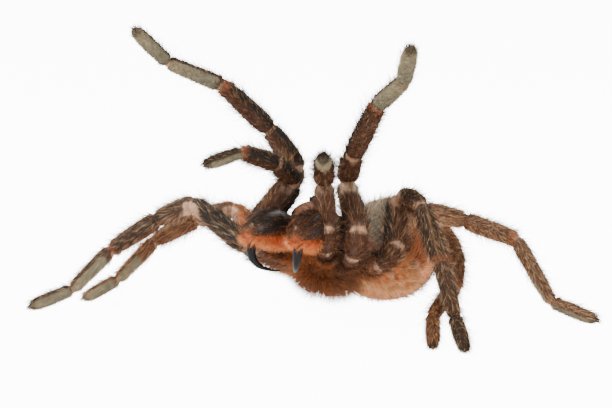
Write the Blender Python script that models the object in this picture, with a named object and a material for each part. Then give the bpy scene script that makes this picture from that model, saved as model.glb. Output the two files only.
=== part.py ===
"""A life-size tarantula rearing in its threat pose, as closed solids for a parts library.

The spider faces -Y, its own left is +X and +Z is up. Lengths in the tables are millimetres
and angles are whole degrees. The script builds in millimetres around the middle of the
prosoma and moves everything to the row's origin, the middle of the bounding box's base, at
the end.
"""
import math
import random

import bmesh
import bpy
from mathutils import Matrix, Vector
from mathutils.bvhtree import BVHTree

MM = 0.001

# Gap that touching nodes keep, and the slack a cutter adds round the piece it clears.
GAP = 0.3

# Sides of a limb's cross section, and the longest step between two of its rings.
LIMB_SIDES = 8
RING_STEP = 4.5

# The prosoma: its middle above the floor, its rearing and its small lean, left side up.
BODY_MIDDLE = Vector((0.0, 0.0, 14.0))
BODY_PITCH = 23
BODY_ROLL = 2

# Coxae in the prosoma's own frame: base forward and left of the middle, heading from
# forward, coxa length, trochanter length, half width at the base and at the far end.
COXAE = {
    "palp": (6.0, 3.4, 30, 9.6, 3.8, 1.2, 2.3),
    "leg_1": (3.6, 4.8, 50, 10.3, 4.8, 1.25, 2.8),
    "leg_2": (0.6, 5.4, 78, 10.0, 4.8, 1.3, 2.75),
    "leg_3": (-2.6, 5.4, 104, 9.2, 4.2, 1.3, 2.65),
    "leg_4": (-5.6, 4.4, 136, 10.2, 4.4, 1.3, 2.75),
}

# Lengths of femur, patella, tibia and, for a leg, metatarsus and tarsus, or the palp's tarsus.
LENGTHS = {
    "palp": (14.0, 8.5, 10.0, 9.5),
    "leg_1": (20.0, 12.0, 15.5, 14.0, 11.0),
    "leg_2": (17.5, 11.0, 13.5, 13.5, 10.5),
    "leg_3": (15.5, 10.2, 11.5, 13.5, 9.5),
    "leg_4": (19.0, 10.5, 15.0, 17.5, 11.0),
}

# The pose: for each segment the turn from forward towards the animal's left, and the rise
# above level, both in the world. Legs whose last rise is None set their tarsus on the floor.
POSE = {
    "palp_left": ((-144, 47), (33, 25), (33, 14), (33, 14)),
    "palp_right": ((162, 43), (-6, 37), (-19, 19), (-21, -13)),
    "leg_1_left": ((-138, 28), (42, 37), (65, 51), (56, 24), (40, 41)),
    "leg_1_right": ((168, 39), (-43, 54), (-37, 43), (-38, 23), (-24, 42)),
    "leg_2_left": ((-151, 40), (60, -10), (67, -57), (54, -55), (42, None)),
    "leg_2_right": ((-78, 34), (-83, -24), (-55, -33), (-40, -44), (-44, None)),
    "leg_3_left": ((-174, 35), (80, -42), (27, -33), (7, -17), (30, None)),
    "leg_3_right": ((-85, 44), (-72, -18), (-62, -27), (-51, -46), (-58, None)),
    "leg_4_left": ((-162, 42), (131, -15), (83, -11), (75, -50), (99, None)),
    "leg_4_right": ((-150, 36), (-150, -10), (-160, -30), (-168, -31), (-172, None)),
}

# Height of a standing tarsus's end above the floor, a little under its radius, so that the
# sole has a small flat.
SOLE_HEIGHT = 0.95

# Radius profiles along each segment, as (part of its length, radius).
PROFILES = {
    "trochanter": ((0.0, 2.5), (0.5, 2.75), (1.0, 2.5)),
    "femur": ((0.0, 2.5), (0.25, 2.95), (0.6, 2.85), (0.88, 2.65), (1.0, 2.4)),
    "patella": ((0.0, 2.4), (0.3, 2.75), (0.7, 2.65), (1.0, 2.2)),
    "tibia": ((0.0, 2.2), (0.2, 2.55), (0.7, 2.4), (1.0, 2.0)),
    "metatarsus": ((0.0, 1.85), (0.2, 2.1), (0.7, 1.95), (1.0, 1.7)),
    "tarsus": ((0.0, 1.7), (0.45, 1.9), (0.8, 1.8), (0.94, 1.5), (1.0, 0.8)),
}
LIMB_SCALE = {"palp": 0.92, "leg_1": 1.0, "leg_2": 0.97, "leg_3": 0.94, "leg_4": 0.96}

# Radius of the bend of a limb's middle line at each joint, as a share of the limb's radius.
BEND_SHARE = 1.2

# Least distance of the skin from the centre of a bend, so that the inner side never folds.
BEND_CLEAR = 0.5

# Carapace in the prosoma's frame.
CARAPACE_MIDDLE = 0.5
CARAPACE_HALF_LENGTH = 13.0
CARAPACE_HALF_WIDTH = 11.4
CARAPACE_RIM = 4.0
CARAPACE_FRONT_RISE = 5.3
CARAPACE_DOME = 6.0
CARAPACE_EDGE = 0.9
CARAPACE_SIDES = 24
CORE_TOP = 3.4
CORE_BOTTOM = -0.4
HEAD_WALL_FORWARD = 11.0
HEAD_WALL_HALF_WIDTH = 6.6

# Sternum plate and the labium in front of it.
STERNUM_TOP = -0.7
STERNUM_BOTTOM = -4.9
LABIUM_LENGTH = 3.2
LABIUM_HALF_WIDTH = 1.7

# Chelicerae: base in the prosoma's frame, outward turn, droop, length and half sizes.
CHELICERA_BASE = Vector((11.4, 4.3, 5.2))
CHELICERA_TURN = 9
CHELICERA_DROOP = 20
CHELICERA_LENGTH = 14.0
CHELICERA_SIDES = 12
CHELICERA_PROFILE = (
    (0.0, 3.7, 4.0),
    (0.18, 3.95, 4.6),
    (0.42, 4.05, 4.75),
    (0.68, 3.75, 4.2),
    (0.86, 3.1, 3.3),
    (0.96, 2.2, 2.3),
    (1.0, 1.2, 1.2),
)

# Fangs: root along the chelicera, how low it sits, and where the fang goes in the world.
FANG_AT = 0.9
FANG_DROP = 1.6
FANG_BEND = Vector((0.3, -1.8, -5.6))
FANG_TIP = Vector((-4.2, 4.6, -8.0))
FANG_RADIUS = 1.15

# The abdomen's middle and half sizes, and the pedicel that joins it to the prosoma.
ABDOMEN_MIDDLE = Vector((-2.4, 29.9, 12.3))
ABDOMEN_HALF = Vector((11.4, 16.8, 12.6))
ABDOMEN_SIDES = 18
PEDICEL_START = Vector((-7.9, 0.0, 0.75))
PEDICEL_END_HEIGHT = 9.3
PEDICEL_RADIUS = 1.15

# Spinnerets at the back of the abdomen.
SPINNERET_SPREAD = 3.2
SPINNERET_LENGTH = 7.0
SPINNERET_RADIUS = 1.05

# Tubercle with the eight eyes, in the prosoma's frame.
TUBERCLE_FORWARD = 10.4
TUBERCLE_HALF = Vector((1.1, 1.55, 0.95))
TUBERCLE_RAISE = 0.05
EYE_PLACES = (
    (0.35, 0.48, 0.34),
    (0.55, 1.1, 0.3),
    (-0.45, 0.62, 0.22),
    (-0.3, 1.15, 0.26),
)

# Locks stand for the long bristles. Those of a limb: rows along each segment, locks round
# it, length, width at the root, and the angle to the skin at root and tip.
LIMB_LOCKS = {
    "coxa": (1, 2, 4.4, 2.6, 36, 16),
    "femur": (3, 3, 7.4, 3.1, 25, 4),
    "patella": (1, 4, 6.4, 2.9, 25, 4),
    "tibia": (2, 3, 7.0, 2.8, 25, 4),
    "metatarsus": (2, 3, 6.6, 2.3, 21, 3),
    "tarsus": (1, 3, 5.2, 2.1, 17, 3),
}
LOCK_SINK = 0.9
LOCK_THICKNESS = 0.55
LOCK_FLOOR = 0.25
LOCK_CELL = 1.2

# Locks of the body: rings along and locks round the abdomen, and their size.
ABDOMEN_ROWS = 6
ABDOMEN_ROUND = 8
ABDOMEN_LOCK = (9.5, 4.4, 23, 4)
CARAPACE_LOCKS = 14
CARAPACE_LOCK = (3.4, 2.4, 20, 4)
CHELICERA_LOCK = (6.4, 2.6, 23, 4)
FRINGE_LOCK = (5.4, 2.3, 54, 42)
STERNUM_LOCK = (6.4, 3.0, 50, 30)

# Claws at the end of each foot.
CLAW_LENGTH = 1.5
CLAW_RADIUS = 0.3

# Colours taken by eye from the photo, as base colour and roughness.
DARK = ((0.055, 0.035, 0.022), 0.7)
RUSTY = ((0.19, 0.075, 0.03), 0.75)
OLIVE = ((0.17, 0.13, 0.085), 0.75)
FANG_BLACK = ((0.02, 0.02, 0.022), 0.25)
EYE_BLACK = ((0.012, 0.012, 0.014), 0.12)


def clear_scene():
    """Remove every object of the file that the script runs in."""
    for thing in list(bpy.data.objects):
        bpy.data.objects.remove(thing, do_unlink=True)


def make_material(name, finish):
    """A Principled material with one colour and roughness."""
    colour, roughness = finish
    material = bpy.data.materials.new(name)
    material.use_nodes = True
    shader = material.node_tree.nodes["Principled BSDF"]
    shader.inputs["Base Color"].default_value = (*colour, 1.0)
    shader.inputs["Roughness"].default_value = roughness
    return material


def make_object(name, bm, finish):
    """Turn a bmesh in millimetres into a named object with its own material."""
    bmesh.ops.recalc_face_normals(bm, faces=bm.faces)
    mesh = bpy.data.meshes.new(name)
    bm.to_mesh(mesh)
    bm.free()
    thing = bpy.data.objects.new(name, mesh)
    bpy.context.scene.collection.objects.link(thing)
    mesh.materials.append(make_material(name, finish))
    return thing


def body_axes():
    """Forward, left and up of the reared prosoma in the world."""
    pitch = math.radians(BODY_PITCH)
    roll = math.radians(BODY_ROLL)
    forward = Vector((0.0, -math.cos(pitch), math.sin(pitch)))
    level_up = Vector((0.0, math.sin(pitch), math.cos(pitch)))
    left = Vector((1.0, 0.0, 0.0)) * math.cos(roll) + level_up * math.sin(roll)
    up = level_up * math.cos(roll) - Vector((1.0, 0.0, 0.0)) * math.sin(roll)
    return forward, left, up


FORWARD, LEFT, UP = body_axes()


def on_body(forward, left, up):
    """A world point from its place in the prosoma's frame."""
    return BODY_MIDDLE + FORWARD * forward + LEFT * left + UP * up


def heading(turn, rise):
    """Unit direction from a turn towards the animal's left and a rise, in degrees."""
    turn = math.radians(turn)
    rise = math.radians(rise)
    level = math.cos(rise)
    return Vector((math.sin(turn) * level, -math.cos(turn) * level, math.sin(rise)))


def smooth_step(low, high, value):
    """Rise smoothly from 0 at low to 1 at high."""
    share = min(1.0, max(0.0, (value - low) / (high - low)))
    return share * share * (3.0 - 2.0 * share)


def read_profile(profile, share):
    """Radius of a profile at a part of its length."""
    for (low, first), (high, second) in zip(profile, profile[1:]):
        if share <= high:
            return first + (second - first) * (share - low) / (high - low)
    return profile[-1][1]


def limb_kind(limb):
    """The limb's kind, such as leg_2, and its side as 1 for left or -1 for right."""
    kind, side = limb.rsplit("_", 1)
    return kind, 1.0 if side == "left" else -1.0


def limb_joints(limb):
    """World points of a limb's joints from the coxa's base to the tip."""
    kind, side = limb_kind(limb)
    forward, left, turn, coxa, trochanter, _, _ = COXAE[kind]
    angle = math.radians(turn)
    start = on_body(forward, left * side, 0.0)
    out = FORWARD * math.cos(angle) + LEFT * side * math.sin(angle)
    points = [start, start + out * coxa]
    first = heading(*POSE[limb][0])
    points.append(points[-1] + (out + first).normalized() * trochanter)
    for (turn, rise), length in zip(POSE[limb], LENGTHS[kind]):
        if rise is None:
            drop = SOLE_HEIGHT - points[-1].z
            rise = math.degrees(math.asin(max(-0.9, drop / length)))
        points.append(points[-1] + heading(turn, rise) * length)
    return points


class MiddleLine:
    """A limb's middle line with its joints rounded, and a frame carried along it."""

    def __init__(self, joints, radii, dorsal):
        self.samples = []
        self.joint_at = [0.0]
        self.trace(joints, radii)
        self.carry(dorsal)

    def trace(self, joints, radii):
        """Straight stretches with an arc at each joint, as points with their tangents."""
        steps = [(b - a) for a, b in zip(joints, joints[1:])]
        cuts = [0.0]
        for before, after, radius in zip(steps, steps[1:], radii):
            bend = before.angle(after)
            cut = radius * BEND_SHARE * math.tan(bend / 2.0)
            cuts.append(min(cut, 0.47 * before.length, 0.47 * after.length))
        cuts.append(0.0)
        travelled = 0.0
        last = None
        for index, step in enumerate(steps):
            line = step.normalized()
            begin = joints[index] + line * cuts[index]
            end = joints[index + 1] - line * cuts[index + 1]
            stretch = (end - begin).length
            count = max(1, math.ceil(stretch / 0.5))
            for number in range(count + 1):
                point = begin.lerp(end, number / count)
                if last is not None:
                    travelled += (point - last).length
                last = point
                self.samples.append([travelled, point, line.copy(), None, 0.0])
            if index == len(steps) - 1:
                break
            turned = steps[index + 1].normalized()
            bend = line.angle(turned)
            if cuts[index + 1] < 1e-6 or bend < 1e-4:
                self.joint_at.append(travelled)
                continue
            radius = cuts[index + 1] / math.tan(bend / 2.0)
            axis = line.cross(turned).normalized()
            centre = end + axis.cross(line) * radius
            pieces = max(2, math.ceil(bend / math.radians(6)))
            half_way = travelled + radius * bend / 2.0
            for number in range(1, pieces):
                spin = Matrix.Rotation(bend * number / pieces, 3, axis)
                point = centre + spin @ (end - centre)
                travelled += (point - last).length
                last = point
                self.samples.append([travelled, point, spin @ line, centre, radius])
            self.joint_at.append(half_way)
        self.joint_at.append(travelled)

    def carry(self, dorsal):
        """Carry the dorsal direction along without twist."""
        tangent = self.samples[0][2]
        side = (dorsal - tangent * dorsal.dot(tangent)).normalized()
        for sample in self.samples:
            swing = tangent.rotation_difference(sample[2])
            side = swing @ side
            side = (side - sample[2] * side.dot(sample[2])).normalized()
            tangent = sample[2]
            sample.append(side.copy())

    def at(self, place):
        """Point, tangent and dorsal direction at a distance along the line."""
        samples = self.samples
        place = min(max(place, samples[0][0]), samples[-1][0])
        low = 0
        high = len(samples) - 1
        while high - low > 1:
            middle = (low + high) // 2
            if samples[middle][0] <= place:
                low = middle
            else:
                high = middle
        first, second = samples[low], samples[high]
        span = max(second[0] - first[0], 1e-9)
        share = (place - first[0]) / span
        point = first[1].lerp(second[1], share)
        tangent = first[2].lerp(second[2], share).normalized()
        side = first[5].lerp(second[5], share)
        side = (side - tangent * side.dot(tangent)).normalized()
        return point, tangent, side

    def bend_at(self, place):
        """Centre and radius of the bend at a distance along the line, or None on a straight."""
        nearest = min(self.samples, key=lambda sample: abs(sample[0] - place))
        return nearest[3], nearest[4]


def ring_places(line, start, end):
    """Distances for rings from start to end, close in the bends and wide on straights."""
    places = [start]
    while places[-1] < end - 1e-6:
        here = places[-1]
        _, tangent, _ = line.at(here)
        step = RING_STEP
        while step > 1.0:
            _, ahead, _ = line.at(min(here + step, end))
            if tangent.angle(ahead) < math.radians(32):
                break
            step *= 0.8
        there = here + step
        if there > end - 0.45 * step:
            there = end
        places.append(there)
    return places


def add_ring(bm, point, tangent, dorsal, wide, high, sides, floor=None):
    """A ring of vertices round a middle line."""
    across = tangent.cross(dorsal)
    ring = []
    for number in range(sides):
        angle = 2.0 * math.pi * (number + 0.5) / sides
        place = point + dorsal * math.cos(angle) * high + across * math.sin(angle) * wide
        if floor is not None and place.z < floor:
            place.z = floor
        ring.append(bm.verts.new(place))
    return ring


def skin_rings(bm, rings):
    """Close rings of equal count into one tube with flat ends."""
    for lower, upper in zip(rings, rings[1:]):
        count = len(lower)
        for number in range(count):
            after = (number + 1) % count
            bm.faces.new((lower[number], lower[after], upper[after], upper[number]))
    bm.faces.new(rings[0])
    bm.faces.new(rings[-1])


class Limb:
    """One leg or palp: its line, its segments and the nodes made from them."""

    def __init__(self, name):
        self.name = name
        self.kind, self.side = limb_kind(name)
        self.scale = LIMB_SCALE[self.kind]
        self.joints = limb_joints(name)
        names = ["coxa", "trochanter", "femur", "patella", "tibia"]
        names += ["tarsus"] if self.kind == "palp" else ["metatarsus", "tarsus"]
        self.segments = names
        radii = [PROFILES[part][0][1] * self.scale for part in names[1:]]
        self.line = MiddleLine(self.joints, radii, UP)

    def radii_at(self, place):
        """Half width and half height of the limb at a distance along its line."""
        stops = self.line.joint_at
        for index, part in enumerate(self.segments):
            if place <= stops[index + 1] + 1e-6:
                break
        share = (place - stops[index]) / (stops[index + 1] - stops[index])
        if part == "coxa":
            narrow, broad = COXAE[self.kind][5:7]
            wide = narrow + (broad - narrow) * min(1.0, share / 0.85)
            close = 1.0 - 0.12 * smooth_step(0.85, 1.0, share)
            return wide * close, broad * close
        radius = read_profile(PROFILES[part], share) * self.scale
        return radius, radius

    def node_spans(self):
        """Node names with the joints that they run between."""
        if self.kind == "palp":
            return (("hip", 0, 2), ("femur", 2, 3), ("patella", 3, 4), ("tibia", 4, 5), ("tarsus", 5, 6))
        return (("hip", 0, 2), ("femur", 2, 3), ("patella", 3, 4), ("tibia", 4, 5), ("foot", 5, 7))

    def places(self, first, last):
        """Ring places of a node, with a ring at each inner joint and half a gap off its ends."""
        stops = self.line.joint_at
        start = stops[first] + (GAP / 2.0 if first else 0.0)
        end = stops[last] - (GAP / 2.0 if last < len(stops) - 1 else 0.0)
        marks = [start] + [stops[index] for index in range(first + 1, last)]
        ends_limb = last == len(stops) - 1
        if ends_limb:
            length = stops[last] - stops[last - 1]
            marks += [stops[last - 1] + length * share for share in (0.8, 0.94)]
        marks.append(end)
        places = []
        for low, high in zip(marks, marks[1:]):
            places += ring_places(self.line, low, high)[:-1]
        return places + [end]

    def end_frame(self, index, sign):
        """Frame of an end face: the joint's own plane, half a gap to one side of it."""
        point, tangent, dorsal = self.line.at(self.line.joint_at[index])
        return point + tangent * sign * GAP / 2.0, tangent, dorsal

    def build(self, part, first, last, extra=0.0):
        """A bmesh of one node, grown all round by extra for a cutter."""
        bm = bmesh.new()
        rings = []
        places = self.places(first, last)
        faces = []
        if first:
            faces.append((*self.end_frame(first, 1.0)[:2], 1.0))
        if last < len(self.segments):
            faces.append((*self.end_frame(last, -1.0)[:2], -1.0))
        for number, place in enumerate(places):
            point, tangent, dorsal = self.line.at(place)
            if number == 0 and first:
                point, tangent, dorsal = self.end_frame(first, 1.0)
            if number == len(places) - 1 and last < len(self.segments):
                point, tangent, dorsal = self.end_frame(last, -1.0)
            wide, high = self.radii_at(place)
            floor = 0.0 if part in ("foot", "tarsus") else None
            ring = add_ring(bm, point, tangent, dorsal, wide + extra, high + extra, LIMB_SIDES, floor)
            self.clear_bend(ring, place, point)
            for vert in ring:
                for middle, normal, sign in faces:
                    past = (vert.co - middle).dot(normal) * sign
                    if past < 0.0:
                        vert.co -= normal * sign * past
            rings.append(ring)
        skin_rings(bm, rings)
        return bm

    def clear_bend(self, ring, place, point):
        """Flatten a ring's inner side where the limb bends more tightly than it is thick."""
        centre, radius = self.line.bend_at(place)
        if centre is None:
            return
        inward = (centre - point).normalized()
        limit = max(0.4, radius - BEND_CLEAR)
        for vert in ring:
            reach = (vert.co - point).dot(inward)
            if reach > limit:
                vert.co -= inward * (reach - limit)


def rim_height(forward):
    """Height of the carapace's edge above the coxae along the body."""
    rise = smooth_step(-1.0, 14.5, forward)
    return CARAPACE_RIM + CARAPACE_FRONT_RISE * rise


def carapace_point(angle, share, lift):
    """A point on the carapace: angle from forward, share of the outline, lift off the rim."""
    ahead = math.cos(angle)
    aside = math.sin(angle)
    forward = CARAPACE_MIDDLE + CARAPACE_HALF_LENGTH * ahead * share
    width = CARAPACE_HALF_WIDTH
    if ahead > 0.0:
        aside = math.copysign(abs(aside) ** 0.7, aside)
        width *= 1.0 - 0.35 * ahead ** 0.8
    left = width * aside * share
    dome = CARAPACE_DOME * max(0.0, 1.0 - share * share) ** 0.6
    fovea = 0.9 * math.exp(-((forward + 3.0) / 1.6) ** 2 - (left / 1.8) ** 2)
    return on_body(forward, left, rim_height(forward) + dome - fovea + lift)


def plate_outline(inset):
    """Outline of sternum and core between the coxae, in the prosoma's frame."""
    half = []
    for kind in ("palp", "leg_1", "leg_2", "leg_3", "leg_4"):
        forward, left, turn = COXAE[kind][:3]
        angle = math.radians(turn)
        half.append((forward - inset * math.cos(angle), left - inset * math.sin(angle)))
    half.append((-7.6, 1.9))
    return half + [(forward, -left) for forward, left in reversed(half)]


def add_prism(bm, outline, low, high):
    """A prism on an outline of the prosoma's frame between two heights."""
    rings = []
    for height in (low, high):
        rings.append([bm.verts.new(on_body(forward, left, height)) for forward, left in outline])
    skin_rings(bm, rings)


def build_shell(extra=0.0):
    """The carapace's domed shell, grown by extra for a cutter."""
    bm = bmesh.new()
    rings = []
    layers = ((1.0, -CARAPACE_EDGE - extra), (1.0, 0.0), (0.95, 0.0), (0.82, 0.0), (0.62, 0.0), (0.4, 0.0), (0.18, 0.0))
    for share, lift in layers:
        ring = []
        for number in range(CARAPACE_SIDES):
            angle = 2.0 * math.pi * number / CARAPACE_SIDES
            point = carapace_point(angle, share, lift)
            out = (FORWARD * math.cos(angle) + LEFT * math.sin(angle)) * share + UP * (1.0 - share) * 2.0
            ring.append(bm.verts.new(point + out * extra))
        rings.append(ring)
    skin_rings(bm, rings)
    return bm


def build_carapace():
    """Domed carapace with the core below it and the wall that carries the chelicerae."""
    shell = make_object("carapace", build_shell(), DARK)
    core = bmesh.new()
    add_prism(core, plate_outline(0.6), CORE_BOTTOM, CORE_TOP + 2.0)
    wall = bmesh.new()
    half = HEAD_WALL_HALF_WIDTH
    outline = ((HEAD_WALL_FORWARD, half), (HEAD_WALL_FORWARD, -half), (2.0, -half), (2.0, half))
    add_prism(wall, outline, 3.3, 7.5)
    join(shell, [make_object("core", core, DARK), make_object("wall", wall, DARK)])
    return shell


def build_sternum():
    """Sternum plate with the labium at its front."""
    bm = bmesh.new()
    add_prism(bm, plate_outline(0.45), STERNUM_BOTTOM, STERNUM_TOP)
    plate = make_object("sternum", bm, RUSTY)
    lip = bmesh.new()
    front = 5.0 + LABIUM_LENGTH
    outline = (
        (5.0, LABIUM_HALF_WIDTH),
        (front - 0.8, LABIUM_HALF_WIDTH),
        (front, LABIUM_HALF_WIDTH * 0.5),
        (front, -LABIUM_HALF_WIDTH * 0.5),
        (front - 0.8, -LABIUM_HALF_WIDTH),
        (5.0, -LABIUM_HALF_WIDTH),
    )
    add_prism(lip, outline, STERNUM_BOTTOM + 0.4, STERNUM_TOP)
    join(plate, [make_object("labium", lip, RUSTY)])
    return plate


def chelicera_frame(side):
    """Base, axis, up and outward direction of one chelicera."""
    turn = math.radians(CHELICERA_TURN)
    droop = math.radians(CHELICERA_DROOP)
    level = FORWARD * math.cos(turn) + LEFT * side * math.sin(turn)
    axis = level * math.cos(droop) - UP * math.sin(droop)
    base = on_body(CHELICERA_BASE.x, CHELICERA_BASE.y * side, CHELICERA_BASE.z)
    top = (UP - axis * UP.dot(axis)).normalized()
    return base, axis, top


def build_chelicera(side, extra=0.0):
    """One chelicera, arched above and flatter below, grown by extra for a cutter."""
    base, axis, top = chelicera_frame(side)
    bm = bmesh.new()
    rings = []
    for share, wide, high in CHELICERA_PROFILE:
        arch = 0.7 * math.sin(math.pi * share)
        point = base + axis * CHELICERA_LENGTH * share + top * arch
        if share == 0.0:
            point = point - axis * extra
        if share == 1.0:
            point = point + axis * extra
        ring = add_ring(bm, point, axis, top, wide + extra, high + extra, CHELICERA_SIDES)
        rings.append(ring)
    skin_rings(bm, rings)
    return bm


def fang_points(side):
    """Root, bend and tip of a fang in the world."""
    base, axis, top = chelicera_frame(side)
    root = base + axis * CHELICERA_LENGTH * FANG_AT - top * FANG_DROP
    bend = root + Vector((FANG_BEND.x * side, FANG_BEND.y, FANG_BEND.z))
    tip = root + Vector((FANG_TIP.x * side, FANG_TIP.y, FANG_TIP.z))
    return root, bend, tip


def build_fang(side, extra=0.0):
    """A curved, tapering fang, grown by extra for its socket."""
    root, bend, tip = fang_points(side)
    bm = bmesh.new()
    rings = []
    steps = 7
    for number in range(steps + 1):
        share = number / steps
        point = root * (1 - share) ** 2 + bend * 2 * share * (1 - share) + tip * share ** 2
        tangent = ((bend - root) * (1 - share) + (tip - bend) * share).normalized()
        dorsal = Vector((side, 0.0, 0.0))
        dorsal = (dorsal - tangent * dorsal.dot(tangent)).normalized()
        radius = FANG_RADIUS * (1.0 - 0.9 * share ** 1.3) + extra
        if number == 0:
            point = point - tangent * extra
        rings.append(add_ring(bm, point, tangent, dorsal, radius, radius, 8))
    skin_rings(bm, rings)
    return bm


def abdomen_point(along, angle):
    """A point on the abdomen: along its axis from -1 to 1, angle from the top."""
    swell = math.sqrt(max(0.0, 1.0 - along * along))
    swell *= 1.0 + 0.1 * along
    x = ABDOMEN_MIDDLE.x + ABDOMEN_HALF.x * swell * math.sin(angle)
    y = ABDOMEN_MIDDLE.y + ABDOMEN_HALF.y * along
    z = ABDOMEN_MIDDLE.z + ABDOMEN_HALF.z * swell * math.cos(angle)
    return Vector((x, y, max(z, 0.0)))


def build_abdomen():
    """Egg-shaped abdomen resting on a small flat, with the pedicel in front."""
    bm = bmesh.new()
    rings = []
    for number in range(13):
        along = -math.cos(math.pi * (number + 0.35) / 12.7)
        ring = []
        for step in range(ABDOMEN_SIDES):
            angle = 2.0 * math.pi * step / ABDOMEN_SIDES
            ring.append(bm.verts.new(abdomen_point(along, angle)))
        rings.append(ring)
    skin_rings(bm, rings)
    belly = make_object("abdomen", bm, OLIVE)
    tube = bmesh.new()
    start = on_body(*PEDICEL_START)
    end = Vector((ABDOMEN_MIDDLE.x * 0.4, ABDOMEN_MIDDLE.y - ABDOMEN_HALF.y + 3.0, PEDICEL_END_HEIGHT))
    tangent = (end - start).normalized()
    side = (UP - tangent * UP.dot(tangent)).normalized()
    rings = []
    for share in (0.0, 0.5, 1.0):
        point = start.lerp(end, share)
        rings.append(add_ring(tube, point, tangent, side, PEDICEL_RADIUS, PEDICEL_RADIUS, 8))
    skin_rings(tube, rings)
    join(belly, [make_object("pedicel", tube, OLIVE)])
    return belly


def build_spinneret(side):
    """One finger-like spinneret, rising from the abdomen's back."""
    along = 0.93
    angle = math.pi - side * 0.55
    root = abdomen_point(along, angle)
    out = abdomen_normal(root)
    bm = bmesh.new()
    rings = []
    point = root + out * GAP
    heading_now = out.copy()
    rise = Vector((0.25 * side, 0.8, 0.55)).normalized()
    for number in range(6):
        share = number / 5
        radius = SPINNERET_RADIUS * (1.0 - 0.55 * share)
        if number in (2, 4):
            radius *= 0.86
        dorsal = Vector((0.0, 0.0, 1.0))
        dorsal = (dorsal - heading_now * dorsal.dot(heading_now)).normalized()
        rings.append(add_ring(bm, point, heading_now, dorsal, radius, radius, 8))
        heading_now = out.lerp(rise, min(1.0, share + 0.2)).normalized()
        point = point + heading_now * SPINNERET_LENGTH / 5
    skin_rings(bm, rings)
    return bm


def add_ball(bm, centre, half, segments, rings, grow=0.0):
    """An ellipsoid in the prosoma's frame, with half sizes forward, left and up."""
    spin = Matrix((FORWARD, LEFT, UP)).transposed().to_4x4()
    size = Matrix.Diagonal((half.x + grow, half.y + grow, half.z + grow, 1.0))
    place = Matrix.Translation(centre) @ spin @ size
    bmesh.ops.create_uvsphere(bm, u_segments=segments, v_segments=rings, radius=1.0, matrix=place)


def tubercle_middle():
    """Middle of the eye tubercle on the carapace's midline."""
    share = (TUBERCLE_FORWARD - CARAPACE_MIDDLE) / CARAPACE_HALF_LENGTH
    return carapace_point(0.0, share, TUBERCLE_RAISE)


def build_tubercle(grow=0.0, with_eyes=True):
    """The eye tubercle with its eight eyes, or its plain mound for the seat."""
    bm = bmesh.new()
    middle = tubercle_middle()
    add_ball(bm, middle, TUBERCLE_HALF, 10, 6, grow)
    mound = make_object("eyes", bm, EYE_BLACK)
    if not with_eyes:
        return mound
    pieces = []
    for forward, left, radius in EYE_PLACES:
        for side in (1.0, -1.0):
            share = 1.0 - (forward / TUBERCLE_HALF.x) ** 2 - (left / TUBERCLE_HALF.y) ** 2
            height = TUBERCLE_HALF.z * math.sqrt(max(0.02, share)) - radius * 0.25
            centre = middle + FORWARD * forward + LEFT * left * side + UP * height
            ball = bmesh.new()
            add_ball(ball, centre, Vector((radius, radius, radius)), 6, 3)
            pieces.append(make_object("eye", ball, EYE_BLACK))
    join(mound, pieces)
    return mound


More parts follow.
